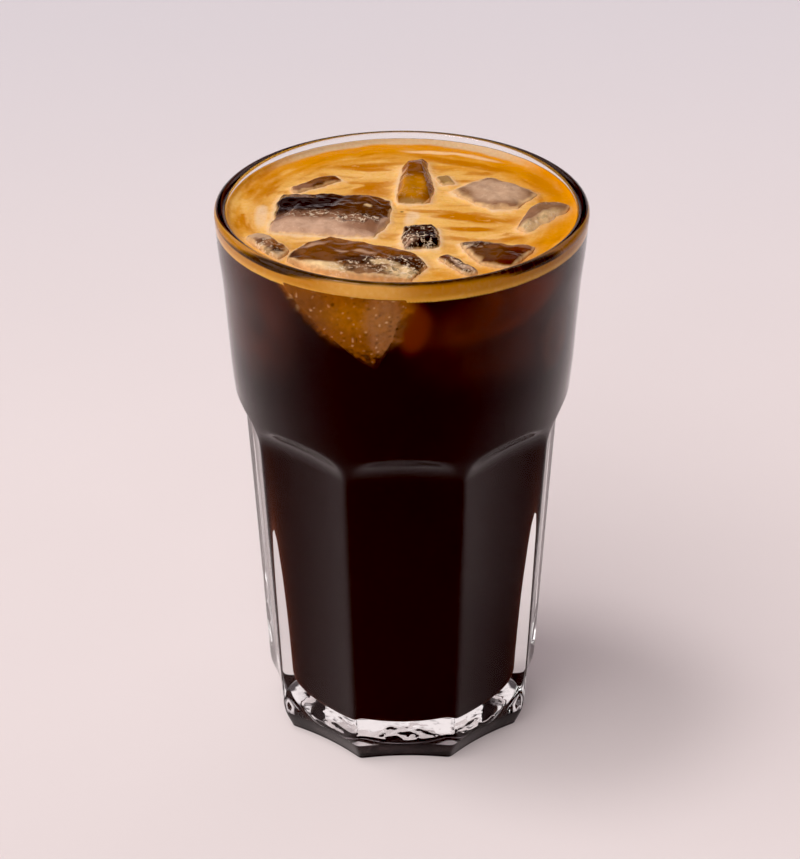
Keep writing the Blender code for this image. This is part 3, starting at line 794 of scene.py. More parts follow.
def behind_material(name, low, high):
    """Coffee and crema as they show through ice, with painted light: lighter near the surface, as if lit from
    above.
    """
    nodes = Nodes(bpy.data.materials.new(name))
    height = nodes.add("SeparateXYZ", {0: nodes.position()}).outputs[2]
    painted_light_by_height = nodes.ramp(height, FOAM_BOTTOM - 12.0 * MM, FOAM_BOTTOM + 1.5 * MM)
    cloud = nodes.ramp(nodes.noise(4.0 * MM, 3.0, distortion=0.6), 0.25, 0.7, 0.35, 1.0)
    return nodes.finish({
        "Base Color": nodes.blend(nodes.times(painted_light_by_height, cloud), low, high), "Roughness": 0.5,
        "Specular IOR Level": 0.1})


def crema_material():
    """Crema: smooth and orange by the wall, pale and dry round the ice, full of fine bubbles."""
    nodes = Nodes(bpy.data.materials.new("crema_foam"))
    dry = nodes.mask("paint", "Alpha")
    fine = nodes.noise(0.9 * MM, 4.0, 0.65, at=nodes.stirred(3.0 * MM, 1.2 * MM))
    bubble = nodes.cells(0.34 * MM)
    foam = nodes.times(nodes.ramp(fine, 0.48, 0.72, 0.0, 0.5), dry)
    colour = nodes.blend(foam, nodes.mask("paint", "Color"), TONES["froth"][:3])
    colour = nodes.blend(nodes.ramp(fine, 0.50, 0.26, 0.0, 0.22), colour, TONES["rust"][:3])
    pit = nodes.times(nodes.ramp(bubble, 0.22, 0.08), nodes.ramp(dry, 0.2, 0.9, 0.06, 0.30))
    grain = nodes.math("ADD", nodes.times(bubble, 0.35), fine)
    return nodes.finish({
        "Base Color": nodes.blend(pit, colour, (0.42, 0.20, 0.06)), "IOR": 1.36,
        "Roughness": nodes.ramp(dry, 0.1, 0.9, 0.12, 0.5), "Specular IOR Level": 0.07,
        "Subsurface Weight": 0.2, "Subsurface Radius": (1.0, 0.45, 0.12),
        "Subsurface Scale": 0.7 * MM, "Normal": nodes.bump(grain, 0.12, 0.10 * MM)})


def ice_material(look, name, gloss):
    """Melting ice: painted depths, cloudy frost, crackle with painted shade in its creases and pale lines
    that are partly painted highlights, and crumbs of foam.
    """
    nodes = Nodes(bpy.data.materials.new(name))
    cloudy, cracked = nodes.mask("paint", "Alpha"), nodes.mask("crackle")
    grain = nodes.noise(0.45 * MM, 3.0, 0.65)
    cloud = nodes.noise(1.9 * MM, 4.0, 0.6, 0.7)
    seam = nodes.cells(1.9 * MM, "DISTANCE_TO_EDGE", nodes.stirred(1.3 * MM, 0.9 * MM))
    thread = nodes.math("ABSOLUTE", nodes.math("SUBTRACT", nodes.noise(3.0 * MM, 3.0, 0.6, 1.4), 0.5))
    broken = nodes.ramp(nodes.noise(1.1 * MM, 2.0), 0.46, 0.56)
    drift = nodes.times(nodes.ramp(cloud, 0.3, 0.7, 0.0, 0.45), nodes.ramp(cloudy, 0.2, 0.9))
    # Painted shade darkens the creases of the crackle; the pale seams and hairlines over it are partly crumbs
    # of foam, partly painted highlights
    shade = nodes.times(nodes.times(cracked, nodes.ramp(cloud, 0.52, 0.36)), 0.8)
    colour = nodes.blend(drift, nodes.mask("paint", "Color"), (0.36, 0.19, 0.11))
    colour = nodes.blend(shade, colour, (0.020, 0.009, 0.007))
    crackle = nodes.times(cracked, nodes.ramp(cloud, 0.42, 0.58))
    pale = nodes.times(nodes.times(nodes.ramp(seam, 0.12, 0.02), crackle), broken)
    dense = nodes.math("MAXIMUM", broken, nodes.ramp(cracked, 0.9, 1.0, 0.0, 0.9))
    hair = nodes.times(nodes.times(nodes.ramp(thread, 0.045, 0.012), dense), cracked)
    speck = nodes.times(nodes.ramp(grain, 0.60, 0.70, 0.0, 0.35), nodes.ramp(cloudy, 0.3, 0.9))
    crumbs_and_highlights = nodes.math("MAXIMUM", nodes.math("MAXIMUM", pale, hair), speck)
    solid = nodes.math("MAXIMUM", nodes.ramp(cloudy, 0.1, 0.9), crumbs_and_highlights)
    height = nodes.math("ADD", nodes.times(grain, 0.25), nodes.times(crumbs_and_highlights, 0.9))
    return nodes.finish({
        "Base Color": nodes.blend(crumbs_and_highlights, colour, (0.92, 0.72, 0.52)), "IOR": 1.24,
        "Transmission Weight": nodes.times(nodes.math("SUBTRACT", 1.0, solid), look.clarity),
        "Specular Tint": tuple(gloss * share for share in (1.0, 0.85, 0.8)),
        "Roughness": nodes.ramp(cloudy, 0.1, 1.0, 0.05, 0.42), "Specular IOR Level": 0.5 * gloss,
        "Normal": nodes.bump(height, 0.22, 0.12 * MM)}, lets_light=(0.75, 0.68, 0.62))


def sector_angles(columns):
    """Angles of a flute's columns, closer together towards its two arrises."""
    share = np.linspace(-1.0, 1.0, columns, endpoint=False)
    return math.pi / FLUTES * (share + 0.27 * np.sin(math.pi * share))


class ICEDCOFFEE_OT_glass(bpy.types.Operator):
    """Make the fluted tumbler with its melted edges, thick base and round lip"""

    bl_idname = "icedcoffee.glass"
    bl_label = "Press Glass"

    def execute(self, context):
        look = settings(context).glass
        sector = sector_angles(FLUTE_COLUMNS)
        angles = np.concatenate([sector + index * math.tau / FLUTES for index in range(FLUTES)])
        fillet = arc((FLOOR_RADIUS, FLOOR_LEVEL + FLOOR_FILLET), FLOOR_FILLET, -90.0, -6.0, 9)
        wall = np.linspace(fillet[1][-1], HEIGHT - LIP_RADIUS, 62)[1:-1]
        lip = arc((RIM_RADIUS - LIP_RADIUS, HEIGHT - LIP_RADIUS), LIP_RADIUS, 180.0, 0.0, 17)
        inner_radii = np.concatenate([
            np.linspace(2.0 * MM, FLOOR_RADIUS, 8)[:-1], fillet[0], inner_radius(wall), lip[0]])
        inner_heights = np.concatenate([np.full(7, FLOOR_LEVEL), fillet[1], wall, lip[1]])
        inner = turned_rows(inner_radii, inner_heights, angles)

        edge = 0.5 * MM
        heights = np.concatenate([
            steps(HEIGHT - LIP_RADIUS, 91.0 * MM, 24), steps(91.0, 78.0, 54) * MM,
            steps(78.0, 18.0, 24) * MM, steps(18.0 * MM, edge, 32)])
        cut = np.tile(cut_radius(sector, heights, look.edge_softness), (1, FLUTES))
        outer = turned_rows(cut, heights, angles)

        corner = np.radians(steps(0.0, 90.0, 7))
        foot = cut[-1]
        edge_radii = foot[None, :] - edge * (1.0 - np.cos(corner))[:, None]
        rim_of_foot = turned_rows(edge_radii, edge - edge * np.sin(corner), angles)
        share = steps(0.0, 1.0, 5)[:, None]
        flat = turned_rows((foot - edge) * (1 - share) + RECESS_RADIUS * share, np.zeros(4), angles)
        step = steps(0.0, 1.0, 7)
        under = turned_rows(RECESS_RADIUS - 1.2 * MM * step, look.recess * ease(0.0, 1.0, step), angles)
        dome_radii = steps(20.8, 2.0, 26) * MM
        crown = 1.0 + 0.1 * (1.0 - (dome_radii / RECESS_RADIUS) ** 2)
        dome = turned_rows(dome_radii, look.recess * crown, angles)
        rows = np.concatenate([inner, outer, rim_of_foot, flat, under, dome])[::-1]
        mesh = ring_mesh("glass_tumbler", rows)

        points = positions(mesh)
        height, radius = points[:, 2], from_axis(points)
        outward = flattened(points) / np.maximum(radius, 1e-6)[:, None]
        calm = 1.0 - ease(HEIGHT - 4.0 * MM, HEIGHT - 1.0 * MM, height)
        waves = look.ripple * fractal(points, 14.0 * MM, 2, 71) * calm * ease(2.0 * MM, 10.0 * MM, height)
        points += outward * waves[:, None]
        base = ease(RECESS_RADIUS, 20.0 * MM, radius)
        base *= ease(FLOOR_LEVEL + 1.0 * MM, FLOOR_LEVEL - 1.0 * MM, height)
        lift = look.base_ripple * fractal(points, 3.2 * MM, 2, 83)
        recessed = (height > 0.05 * MM) & (height < FLOOR_LEVEL - 1.0 * MM) & (radius < RECESS_RADIUS)
        points[:, 2] += np.where(recessed, base * lift, 0.0)
        set_positions(mesh, points)
        mesh.materials.append(glass_material(look))
        mesh.materials.append(dark_bevel_material(look))
        # Painted shade: the near half of the foot's bevel takes the nearly black glass, for the dark under
        # the base
        bevel = (points[:, 2] > 0.01 * MM) & (points[:, 2] < BEVEL_TOP)
        bevel &= (points[:, 1] < 2.0 * MM) & (from_axis(points) > BEVEL_INSIDE)
        for face in mesh.polygons:
            face.material_index = int(bevel[list(face.vertices)].all())
        tumbler = new_object("glass_tumbler", mesh)
        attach(tumbler, BODY)
        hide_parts("glass")
        return {"FINISHED"}


def refined_ice(name, look, style):
    """Fine mesh of a lump: its solid, evened out, then melted and creased."""
    node = frame["nodes"][name]
    lump = new_object(name + "_lump", node.data.copy())
    lump.data.materials.clear()
    voxels = lump.modifiers.new("even cells", "REMESH")
    voxels.mode = "VOXEL"
    voxels.voxel_size = look.voxel
    smooth = lump.modifiers.new("melted", "SMOOTH")
    smooth.factor = 0.5
    smooth.iterations = 12
    mesh = baked(lump)
    mesh.shade_smooth()
    points = positions(mesh)
    facing = normals(mesh)
    seed = style["seed"]
    x, y = points[:, 0] / MM, points[:, 1] / MM
    for place, way in style["facets"]:
        way = np.array(way) / np.linalg.norm(way)
        past = np.clip((points - np.array(place) * MM) @ way, 0.0, None)
        points -= 0.92 * past[:, None] * way
    x = x + 0.9 * fractal(points, 4.0 * MM, 3, seed + 10)
    y = y + 0.9 * fractal(points, 4.0 * MM, 3, seed + 20)
    crackle = np.zeros(len(points))
    for spot in style["crackle"]:
        crackle = np.maximum(crackle, spot_share(x, y, spot))
    crackle *= ease(FOAM_LEVEL - 2.5 * MM, FOAM_LEVEL - 0.5 * MM, points[:, 2])
    slow = fractal(points, 5.5 * MM, 3, seed)
    ridge = 1.0 - 2.0 * np.abs(fractal(points, 2.4 * MM, 3, seed + 60))
    move = style["melt"] * look.melt * slow + look.crease * (ridge - 0.6) * crackle
    away = inner_radius(points[:, 2]) - from_axis(points)
    if name == WALL_ICE:
        move *= ease(1.0 * MM, 3.0 * MM, away)
    points += facing * move[:, None]
    set_positions(mesh, points)

    colour = painted(x, y, TONES[style["base"]], style["spots"])
    outline = flattened(points[np.abs(points[:, 2] - FOAM_LEVEL) < 0.3 * MM])
    inward = nearest_points(outline, flattened(points))[1] / MM
    uneven = np.clip(0.5 + 0.7 * fractal(points, 2.6 * MM, 3, seed + 30), 0.05, None)
    thin = 0.5 + 0.5 * fractal(points, 1.1 * MM, 2, seed + 40)
    cling = ease(1.0, 0.1, inward / (style["cling"] * uneven + 0.1)) * (0.55 + 0.45 * thin)
    cling *= ease(FOAM_LEVEL - 1.5 * MM, FOAM_LEVEL, points[:, 2])
    colour += cling[:, None] * (0.6 * TONES["cream"] + 0.4 * TONES["froth"] - colour)
    if name == WALL_ICE:
        low = ease(FOAM_LEVEL - 0.3 * MM, FOAM_LEVEL - 1.4 * MM, points[:, 2])[:, None]
        colour += low * (wall_ice_colours(points, x, away, seed) - colour)
    set_paint(mesh, colour)
    set_mask(mesh, "crackle", crackle)
    return lump


def wall_ice_colours(points, x, away, seed):
    """Tones of the lump by the wall as they show through the glass, dark where it leaves the wall."""
    colour = painted(x, points[:, 2] / MM, TONES["amber"], WALL_SPOTS)
    colour[:, :3] *= 1.0 + 0.45 * fractal(points, 1.1 * MM, 3, seed + 70)[:, None]
    bubble = fractal(points, 0.8 * MM, 1, seed + 75)[:, None]
    lay(colour, 0.4 * ease(0.54, 0.70, bubble), "crumb")
    colour[:, :3] *= 1.0 - 0.5 * ease(-0.50, -0.65, bubble)
    edge = away / MM + 0.9 * fractal(points, 1.1 * MM, 3, seed + 80)
    edge += 0.22 * np.clip(117.0 - points[:, 2] / MM, 0.0, None)
    edge -= 3.0 * ease(FOAM_BOTTOM - 2.5 * MM, FOAM_BOTTOM - 0.5 * MM, points[:, 2])
    lay(colour, ease(0.8, 1.8, edge), "coffee")
    return colour


def kept_in_glass(points, reach):
    """Points moved in to the wall where they stand further out."""
    most = inner_radius(points[:, 2]) + reach
    points[:, :2] *= np.minimum(1.0, most / np.maximum(from_axis(points), 1e-6))[:, None]
    return points


def pulled_to_wall(points, reach):
    """Points near the wall moved out, to just inside the glass."""
    radius = from_axis(points)
    gap = inner_radius(points[:, 2]) - radius
    pull = ease(2.0 * MM, 1.4 * MM, gap) * (gap + reach - 0.05 * MM)
    points[:, :2] *= (1.0 + pull / radius)[:, None]
    return points


class ICEDCOFFEE_OT_ice(bpy.types.Operator):
    """Make the lumps of melting ice, with their frost and creases"""

    bl_idname = "icedcoffee.ice"
    bl_label = "Float Ice"

    def execute(self, context):
        look = settings(context).ice
        reach = settings(context).drink.wall_reach
        material = ice_material(look, "melting_ice", look.gloss)
        for name, style in ICE_LOOKS.items():
            lump = refined_ice(name, look, style)
            lump.data.materials.append(material)
            points = positions(lump.data)
            if name == WALL_ICE:
                set_positions(lump.data, pulled_to_wall(points, reach))
                lump.data.materials.append(ice_material(look, "wet_ice", 0.02))
                for face in lump.data.polygons:
                    face.material_index = int(points[face.vertices[0], 2] < WET_LEVEL)
            else:
                set_positions(lump.data, kept_in_glass(points, -0.4 * MM))
            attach(lump, BODY)
            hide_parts(name)
        return {"FINISHED"}


def ice_lumps():
    """The lumps of ice that are in the scene."""
    lumps = [bpy.data.objects.get(name + "_lump") for name in ICE_LOOKS]
    if None in lumps:
        raise RuntimeError("the ice is made before the drink that it floats in")
    return lumps


def ice_places(inset, materials):
    """Copies of the lumps, a little smaller, to cut the drink by."""
    group = bpy.data.collections.new("ice_places")
    bpy.context.scene.collection.children.link(group)
    for lump in ice_lumps():
        mesh = lump.data.copy()
        mesh.attributes.remove(mesh.attributes["paint"])
        mesh.attributes.remove(mesh.attributes["crackle"])
        mesh.materials.clear()
        mesh.materials.append(materials[ICE_LOOKS[lump.name.removesuffix("_lump")]["behind"]])
        skin = positions(mesh)
        points = skin - normals(mesh) * inset
        if lump.name == WALL_ICE + "_lump":
            touching = from_axis(skin) - inner_radius(skin[:, 2]) > 0.12 * MM
            radius = from_axis(points)
            push = np.where(touching, inner_radius(points[:, 2]) + 0.3 * MM - radius, 0.0)
            points[:, :2] *= (1.0 + push / radius)[:, None]
        set_positions(mesh, points)
        place = bpy.data.objects.new("place_of_" + lump.name, mesh)
        group.objects.link(place)
    return group


def cut_out(thing, group):
    """Take the ice's places out of a piece, then remove them."""
    cut = thing.modifiers.new("ice", "BOOLEAN")
    cut.operation = "DIFFERENCE"
    cut.operand_type = "COLLECTION"
    cut.collection = group
    cut.solver = "MANIFOLD"
    cut.material_mode = "TRANSFER"
    mesh = baked(thing)
    for place in list(group.objects):
        bpy.data.objects.remove(place)
    bpy.data.collections.remove(group)
    return mesh


def behind_materials():
    """What shows at the back of the ice's places, lighter near the surface by painted light; the amber one is
    painted glowing light.
    """
    return {
        "dark": behind_material("coffee_behind_ice", (0.008, 0.003, 0.003), (0.07, 0.028, 0.016)),
        "brown": behind_material("brown_behind_ice", (0.016, 0.006, 0.003), (0.22, 0.10, 0.04)),
        "amber": behind_material("amber_behind_ice", (0.16, 0.05, 0.004), (0.62, 0.25, 0.02)),
    }


def coffee_colours(points, reach):
    """Tones of the coffee with painted light: red glows under the crema, and the lit tones of the lump by the
    wall carried on round it.
    """
    around = from_front(points) + 5.0 * fractal(points, 14.0 * MM, 2, 401)
    level = points[:, 2] / MM + 2.5 * fractal(points, 12.0 * MM, 2, 411)
    colours = painted(around, level, TONES["coffee"], COFFEE_SPOTS)
    lump = bpy.data.objects[WALL_ICE + "_lump"].data
    skin = positions(lump)
    paint = layer_values(lump.attributes["paint"].data, "color", 4)
    lit = (from_axis(skin) > inner_radius(skin[:, 2])) & (paint[:, 0] > 0.12)
    nearest, distance = nearest_points(skin[lit], points)
    outer = from_axis(points) > inner_radius(points[:, 2]) + 0.5 * reach
    share = outer * ease(2.2, 0.3, distance / MM + 0.9 * fractal(points, 1.4 * MM, 2, 421))
    share *= ease(114.0, 118.5, points[:, 2] / MM)
    painted_glow = paint[lit][nearest] * (0.85, 0.75, 0.6, 1.0)
    return colours + share[:, None] * (painted_glow - colours)


class ICEDCOFFEE_OT_coffee(bpy.types.Operator):
    """Pour the coffee up to the underside of its crema, round the ice"""

    bl_idname = "icedcoffee.coffee"
    bl_label = "Pour Coffee"

    def execute(self, context):
        look = settings(context).drink
        reach = look.wall_reach
        angles = even_angles(COFFEE_COLUMNS)
        turn = np.radians(np.linspace(-90.0, -6.0, 9))
        bend = FLOOR_FILLET - look.floor_gap + (reach + look.floor_gap) * ease(-70.0, -30.0, np.degrees(turn))
        fillet = (FLOOR_RADIUS + bend * np.cos(turn), FLOOR_LEVEL + FLOOR_FILLET + bend * np.sin(turn))
        top = FOAM_BOTTOM + reach
        wall = np.concatenate([
            steps(fillet[1][-1], top - LIT_DEPTH, 36), steps(top - LIT_DEPTH, top, 44)])
        level = steps(inner_radius(top) + reach, 1.0 * MM, 12)
        radii = np.concatenate([
            np.linspace(2.0 * MM, FLOOR_RADIUS, 6)[:-1], fillet[0], inner_radius(wall) + reach, level])
        heights = np.concatenate([np.full(5, fillet[1][0]), fillet[1], wall, np.full(len(level), top)])
        mesh = ring_mesh("coffee_body", turned_rows(radii, heights, angles))
        mesh.materials.append(coffee_material())
        body = new_object("coffee_body", mesh)
        mesh = cut_out(body, ice_places(PLACE_INSET, behind_materials()))
        set_paint(mesh, coffee_colours(positions(mesh), reach))
        mesh.shade_smooth()
        mesh.set_sharp_from_angle(angle=math.radians(40.0))
        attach(body, BODY)
        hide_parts("coffee")
        return {"FINISHED"}


def distance_to_ice(points):
    """Distance from points to the nearest lump, less than zero inside one."""
    nearest = np.full(len(points), 1.0)
    for lump in ice_lumps():
        tree = BVHTree.FromPolygons(
            positions(lump.data).tolist(), [tuple(face.vertices) for face in lump.data.polygons])
        for index, point in enumerate(points):
            place, normal, _, distance = tree.find_nearest(Vector(point), 9.0 * MM)
            if place is None:
                continue
            if (Vector(point) - place).dot(normal) < 0:
                distance = -distance
            nearest[index] = min(nearest[index], distance)
    return nearest


def flat_fractal(across, along, size, octaves, seed):
    """Sum of noises on a flat pattern whose places are in millimetres."""
    return fractal(np.stack([across, along, 0.0 * across], -1) * MM, size, octaves, seed)


def crema_colours(points, gap):
    """Tones of the crema at points, from the ice and the wall round them."""
    flat = flattened(points)
    x, y = points[:, 0] / MM, points[:, 1] / MM
    radius = np.hypot(x, y)
    edge = float(inner_radius(FOAM_LEVEL)) / MM
    bend = 1.7 * fractal(flat, 9.0 * MM, 3, 201)
    sway = 1.2 * fractal(flat, 7.0 * MM, 3, 205)
    streak = flat_fractal(x * 0.24 + sway, y + bend, 3.4 * MM, 3, 211)
    ring = flat_fractal(np.arctan2(y, x) * 9.0, radius + 0.6 * bend, 2.6 * MM, 3, 221)
    right = ease(-30.0, 12.0, x * 0.8 + y * 0.6)[:, None]
    colour = TONES["golden"] + 0.25 * right * (TONES["orange"] - TONES["golden"])
    colour = painted(x + sway, y + bend, colour, CREMA_SPOTS)
    outer = ease(29.0, 35.5, radius + 1.6 * streak) * (0.30 + 0.70 * ease(-26.0, 6.0, x + 0.8 * y))
    lay(colour, outer, "orange")
    flow = streak * ease(33.0, 27.0, radius) + ring * ease(27.0, 33.0, radius)
    flow *= 1.0 - 0.55 * outer
    lay(colour, 0.80 * ease(0.04, 0.34, flow), "light")
    lay(colour, 0.40 * ease(0.30, 0.60, flow), "cream")
    lay(colour, 0.90 * ease(0.0, -0.32, flow), "rust")
    # The rust and froth spots are laid again on top, with the glare spots, which are a painted highlight
    for tone, *spot in CREMA_SPOTS:
        if tone in ("rust", "froth", "painted_glare"):
            lay(colour, 0.85 * spot_share(x + 0.5 * sway, y + 0.5 * bend, spot), tone)
    fleck = flat_fractal(x * 0.45 + sway, y + bend, 1.3 * MM, 2, 251)
    lay(colour, 0.45 * ease(0.25, 0.6, fleck) * ease(33.0, 26.0, radius), "cream")
    patch = 0.5 + 0.5 * fractal(flat, 3.2 * MM, 3, 231)
    gap = np.clip(gap / MM, 0.0, None)
    near = np.exp(-gap / (0.5 + 1.8 * patch))
    middle = ease(34.0, 24.0, np.hypot(x + 3.0, y + 6.0))
    lay(colour, np.clip(near, 0.0, 0.8) * (0.35 + 0.65 * middle), "cream")
    close = np.exp(-(gap / (0.1 + 1.2 * patch ** 2)) ** 2)
    lay(colour, np.clip(0.75 * close, 0.0, 0.7) * (0.3 + 0.7 * middle), "froth")
    film = ease(edge - 1.9, edge - 1.2, radius + 0.4 * bend) * ease(8.0, 26.0, y - 0.35 * np.abs(x - 2.0))
    lay(colour, 0.9 * film, "beige")
    return colour


def crema_heights(look, points, gap, edge):
    """Heights of the crema's top: up the wall, up the ice, and gently uneven between."""
    radius = from_axis(points)
    climb = look.climb * np.clip((radius / edge - 0.93) / 0.07, 0.0, 1.0) ** 2
    back = 0.45 + 0.55 * ease(-20.0 * MM, 30.0 * MM, points[:, 1])
    film = look.film * back * (1.0 + 0.35 * fractal(flattened(points), 6.0 * MM, 3, 301))
    film *= ease(edge - 0.6 * MM, edge, radius)
    patch = 0.5 + 0.5 * fractal(points, 3.2 * MM, 3, 231)
    collar = 0.50 * MM * patch * np.exp(-(np.clip(gap, 0.0, None) / ((0.3 + 0.9 * patch) * MM)) ** 2)
    swell = 0.16 * MM * fractal(points, 9.0 * MM, 3, 311) + 0.05 * MM * fractal(points, 1.4 * MM, 2, 321)
    return FOAM_LEVEL + climb + film + (collar + swell) * ease(edge, edge - 2.0 * MM, radius)


def crema_side_colours(points, brim):
    """Tones of the crema's side, with a painted highlight just left of the front and the thin dark line under
    the lip painted on as shade.
    """
    colours = np.tile(TONES["golden"], (len(points), 1))
    lower = ease(FOAM_BOTTOM + 1.7 * MM, FOAM_BOTTOM + 0.3 * MM, points[:, 2])[:, None]
    cloud = 0.5 + 0.5 * fractal(points, 6.0 * MM, 3, 241)[:, None]
    lay(colours, 0.10 + 0.5 * lower * cloud, "light")
    lay(colours, (0.35 + 0.4 * cloud) * (1.0 - lower), "rust")
    colours[:, :3] *= (0.84 + 0.12 * lower) * (1.0, 1.0, 0.7)
    turn = from_front(points)
    # Painted highlight: a lighter band high on the side, just left of the front
    lay(colours, 0.6 * ease(20.0, 4.0, np.abs(turn + 12.0))[:, None] * (1.0 - lower), "light")
    # Painted shade: the top of the side is darkened, further down towards the sides, for the dark line that
    # the lip shows; from about 52 to 82 degrees to the right it is tan instead
    reach = 0.15 + 0.75 * ease(16.0, 50.0, np.abs(turn)) + 0.12 * fractal(points, 8.0 * MM, 2, 261)
    painted_lip_shade = ease(-0.25 * MM, 0.05 * MM, points[:, 2] - brim + reach * MM)[:, None]
    olive = (ease(52.0, 60.0, turn) * ease(82.0, 74.0, turn))[:, None]
    shadow = (1.0 - olive) * TONES["coffee"] + olive * TONES["tan"]
    return colours + 0.95 * painted_lip_shade * (shadow - colours)


class ICEDCOFFEE_OT_crema(bpy.types.Operator):
    """Lay the crema on the coffee, climbing the wall and clinging to the ice"""

    bl_idname = "icedcoffee.crema"
    bl_label = "Lay Crema"

    def execute(self, context):
        look = settings(context).drink
        reach = look.wall_reach
        angles = even_angles(CREMA_COLUMNS)
        edge = float(inner_radius(FOAM_LEVEL))
        rings = np.concatenate([
            np.linspace(0.6 * MM, edge - 1.0 * MM, 92), edge - np.array([0.7, 0.45, 0.25, 0.1]) * MM])
        surface = turned_rows(rings, np.full(len(rings), FOAM_LEVEL), angles)
        flat = surface.reshape(-1, 3)
        gap = distance_to_ice(flat)
        tones = crema_colours(flat, gap)
        surface[..., 2] = crema_heights(look, flat, gap, edge).reshape(surface.shape[:2])
        brim = surface[-1, :, 2]
        share = np.linspace(0.0, 1.0, 25)[:, None]
        side_heights = brim * (1.0 - share) + FOAM_BOTTOM * share
        side = turned_rows(inner_radius(side_heights) + reach, side_heights, angles)
        under_radii = np.linspace(float(inner_radius(FOAM_BOTTOM)), 1.0 * MM, 24)
        under = turned_rows(under_radii, np.full(24, FOAM_BOTTOM), angles)
        rows = np.concatenate([surface, side, under])[::-1]
        mesh = ring_mesh("crema_layer", rows)
        wall = positions(mesh)
        colours = crema_side_colours(wall, brim[0])
        first = (len(rows) - len(surface)) * len(angles)
        colours[first:first + len(flat)] = tones.reshape(*surface.shape[:2], 4)[::-1].reshape(-1, 4)
        material = crema_material()
        mesh.materials.append(material)
        layer = new_object("crema_layer", mesh)
        behind = {key: material for key in ("dark", "brown", "amber")}
        mesh = cut_out(layer, ice_places(PLACE_INSET, behind))
        set_paint(mesh, colours[nearest_points(wall, positions(mesh))[0]])
        mesh.shade_smooth()
        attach(layer, BODY)
        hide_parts("crema")
        return {"FINISHED"}


def world_light():
    """A pale room, dark overhead, with a long soft box high up behind the glass."""
    world = bpy.data.worlds.new("studio")
    bpy.context.scene.world = world
    nodes = Nodes(world, "World")
    way = nodes.add("SeparateXYZ", {0: nodes.add("TexCoord").outputs["Generated"]}).outputs
    dark, pale = (0.0, 0.0, 0.0), (0.85, 0.76, 0.76)
    room = nodes.stops(way[2], (
        (0.0, (0.78, 0.68, 0.685)), (0.10, (0.66, 0.57, 0.58)), (0.34, (0.085, 0.07, 0.075)),
        (1.0, (0.04, 0.04, 0.045))))
    band = nodes.stops(way[2], ((0.0, dark), (0.46, dark), (0.54, pale), (0.70, pale), (0.80, dark)))
    light = nodes.blend(nodes.ramp(way[1], 0.05, 0.45), room, band, "ADD")
    nodes.feed(nodes.output.inputs["Surface"], nodes.add("Background", {0: light}))


def sun_light(name, towards, strength, angle, colour):
    """A broad light far away, whose shadows are as soft as its angle is wide."""
    light = bpy.data.lights.new(name, "SUN")
    light.energy = strength
    light.angle = math.radians(angle)
    light.color = colour
    lamp = bpy.data.objects.new(name, light)
    bpy.context.scene.collection.objects.link(lamp)
    lamp.rotation_euler = Vector(towards).to_track_quat("-Z", "Y").to_euler()


class ICEDCOFFEE_OT_stage(bpy.types.Operator):
    """Set the pale floor, the soft light and the camera"""

    bl_idname = "icedcoffee.stage"
    bl_label = "Set Stage"

    def execute(self, context):
        look = settings(context).stage
        radii = np.array([0.02, 0.1, 0.3, 0.8, 2.0, 5.0, 12.0])
        heights = np.full(len(radii), -0.02 * MM)
        floor = turned_rows(radii, heights, even_angles(FLOOR_COLUMNS))[::-1]
        mesh = ring_mesh("floor", floor, capped=(False, True))
        nodes = Nodes(bpy.data.materials.new("matt_floor"))
        tone = nodes.ramp(nodes.noise(90.0 * MM, 2.0), 0.3, 0.7, 0.0, 0.03)
        # Painted fall-off of light: the floor turns darker and cooler towards the back
        far = nodes.ramp(nodes.add("SeparateXYZ", {0: nodes.position()}).outputs[1], 0.05, 0.55)
        painted_falloff_tone = tuple(part * share for part, share in zip(look.floor, (0.84, 0.88, 0.93)))
        colour = nodes.blend(far, nodes.blend(tone, tuple(look.floor), (0.4, 0.35, 0.35)), painted_falloff_tone)
        mesh.materials.append(nodes.finish({
            "Base Color": colour, "Roughness": 0.7, "Specular IOR Level": 0.25}))
        new_object("floor", mesh)
        world_light()
        sun_light("key_light", (0.56, 0.36, -0.74), look.key, 78.0, (1.0, 0.985, 0.97))
        sun_light("top_light", (0.30, -0.06, -0.95), look.top, 13.0, (1.0, 0.99, 0.98))

        level = math.cos(look.elevation)
        out = Vector((
            -math.sin(CAMERA_TURN) * level, -math.cos(CAMERA_TURN) * level, math.sin(look.elevation)))
        data = bpy.data.cameras.new("camera")
        data.sensor_width = SENSOR_WIDTH
        data.lens = CAMERA_LENS
        data.shift_x, data.shift_y = (pixels / IMAGE_HEIGHT for pixels in CAMERA_SHIFT)
        data.clip_start, data.clip_end = 0.01, 50.0
        camera = bpy.data.objects.new("camera", data)
        context.scene.collection.objects.link(camera)
        camera.location = CAMERA_TARGET + out * look.distance
        roll = Matrix.Rotation(CAMERA_ROLL, 3, "Z")
        camera.rotation_euler = ((-out).to_track_quat("-Z", "Y").to_matrix() @ roll).to_euler()
        context.scene.camera = camera
        view = context.scene.view_settings
        view.view_transform = "Standard"
        view.use_curve_mapping = True
        view.curve_mapping.black_level = (look.black,) * 3
        view.curve_mapping.update()
        return {"FINISHED"}


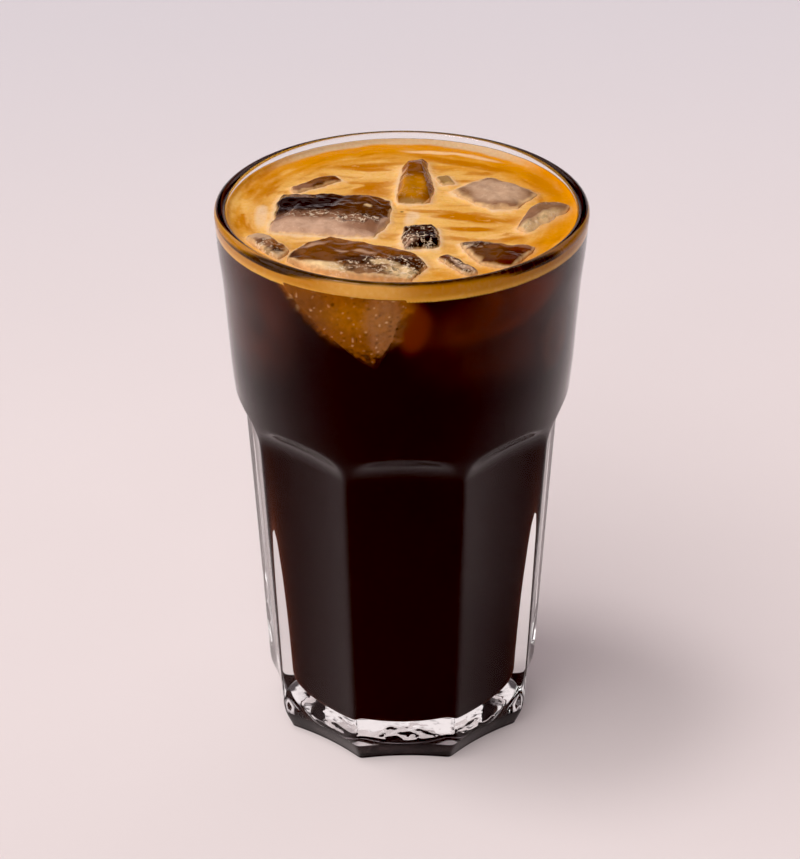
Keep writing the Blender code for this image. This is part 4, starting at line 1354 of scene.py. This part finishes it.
class ICEDCOFFEE_PT_sidebar(bpy.types.Panel):
    """Buttons for each piece and the values that shape them"""

    bl_idname = "ICEDCOFFEE_PT_sidebar"
    bl_label = "Iced Coffee"
    bl_space_type = "VIEW_3D"
    bl_region_type = "UI"
    bl_category = "Iced Coffee"

    def draw(self, context):
        for group, operators in STEPS:
            values = getattr(settings(context), group)
            box = self.layout.box()
            for name in values.bl_rna.properties.keys():
                if name not in ("rna_type", "name"):
                    box.prop(values, name)
            for operator in operators:
                box.operator(operator.bl_idname)


STEPS = (
    ("glass", (ICEDCOFFEE_OT_glass,)),
    ("ice", (ICEDCOFFEE_OT_ice,)),
    ("drink", (ICEDCOFFEE_OT_coffee, ICEDCOFFEE_OT_crema)),
    ("stage", (ICEDCOFFEE_OT_stage,)),
)


class IcedCoffeeSettings(bpy.types.PropertyGroup):
    """All settings of the drink."""

    glass: bpy.props.PointerProperty(name="Glass", description="The tumbler", type=GlassSettings)
    ice: bpy.props.PointerProperty(name="Ice", description="The ice", type=IceSettings)
    drink: bpy.props.PointerProperty(name="Drink", description="Coffee and crema", type=DrinkSettings)
    stage: bpy.props.PointerProperty(name="Stage", description="Floor, light and camera", type=StageSettings)


CLASSES = (
    GlassSettings, DrinkSettings, IceSettings, StageSettings, IcedCoffeeSettings,
    ICEDCOFFEE_OT_glass, ICEDCOFFEE_OT_ice, ICEDCOFFEE_OT_coffee, ICEDCOFFEE_OT_crema,
    ICEDCOFFEE_OT_stage, ICEDCOFFEE_PT_sidebar,
)


def register():
    """Register the classes and put the settings on the scene."""
    for cls in CLASSES:
        bpy.utils.register_class(cls)
    bpy.types.Scene.iced_coffee = bpy.props.PointerProperty(
        name="Iced Coffee", description="Settings of the iced coffee", type=IcedCoffeeSettings)


def unregister():
    """Take the settings and classes away again."""
    del bpy.types.Scene.iced_coffee
    for cls in reversed(CLASSES):
        bpy.utils.unregister_class(cls)


def main():
    """Make every piece and the stage."""
    register()
    bpy.ops.icedcoffee.glass()
    bpy.ops.icedcoffee.ice()
    bpy.ops.icedcoffee.coffee()
    bpy.ops.icedcoffee.crema()
    bpy.ops.icedcoffee.stage()


if __name__ == "__main__":
    main()
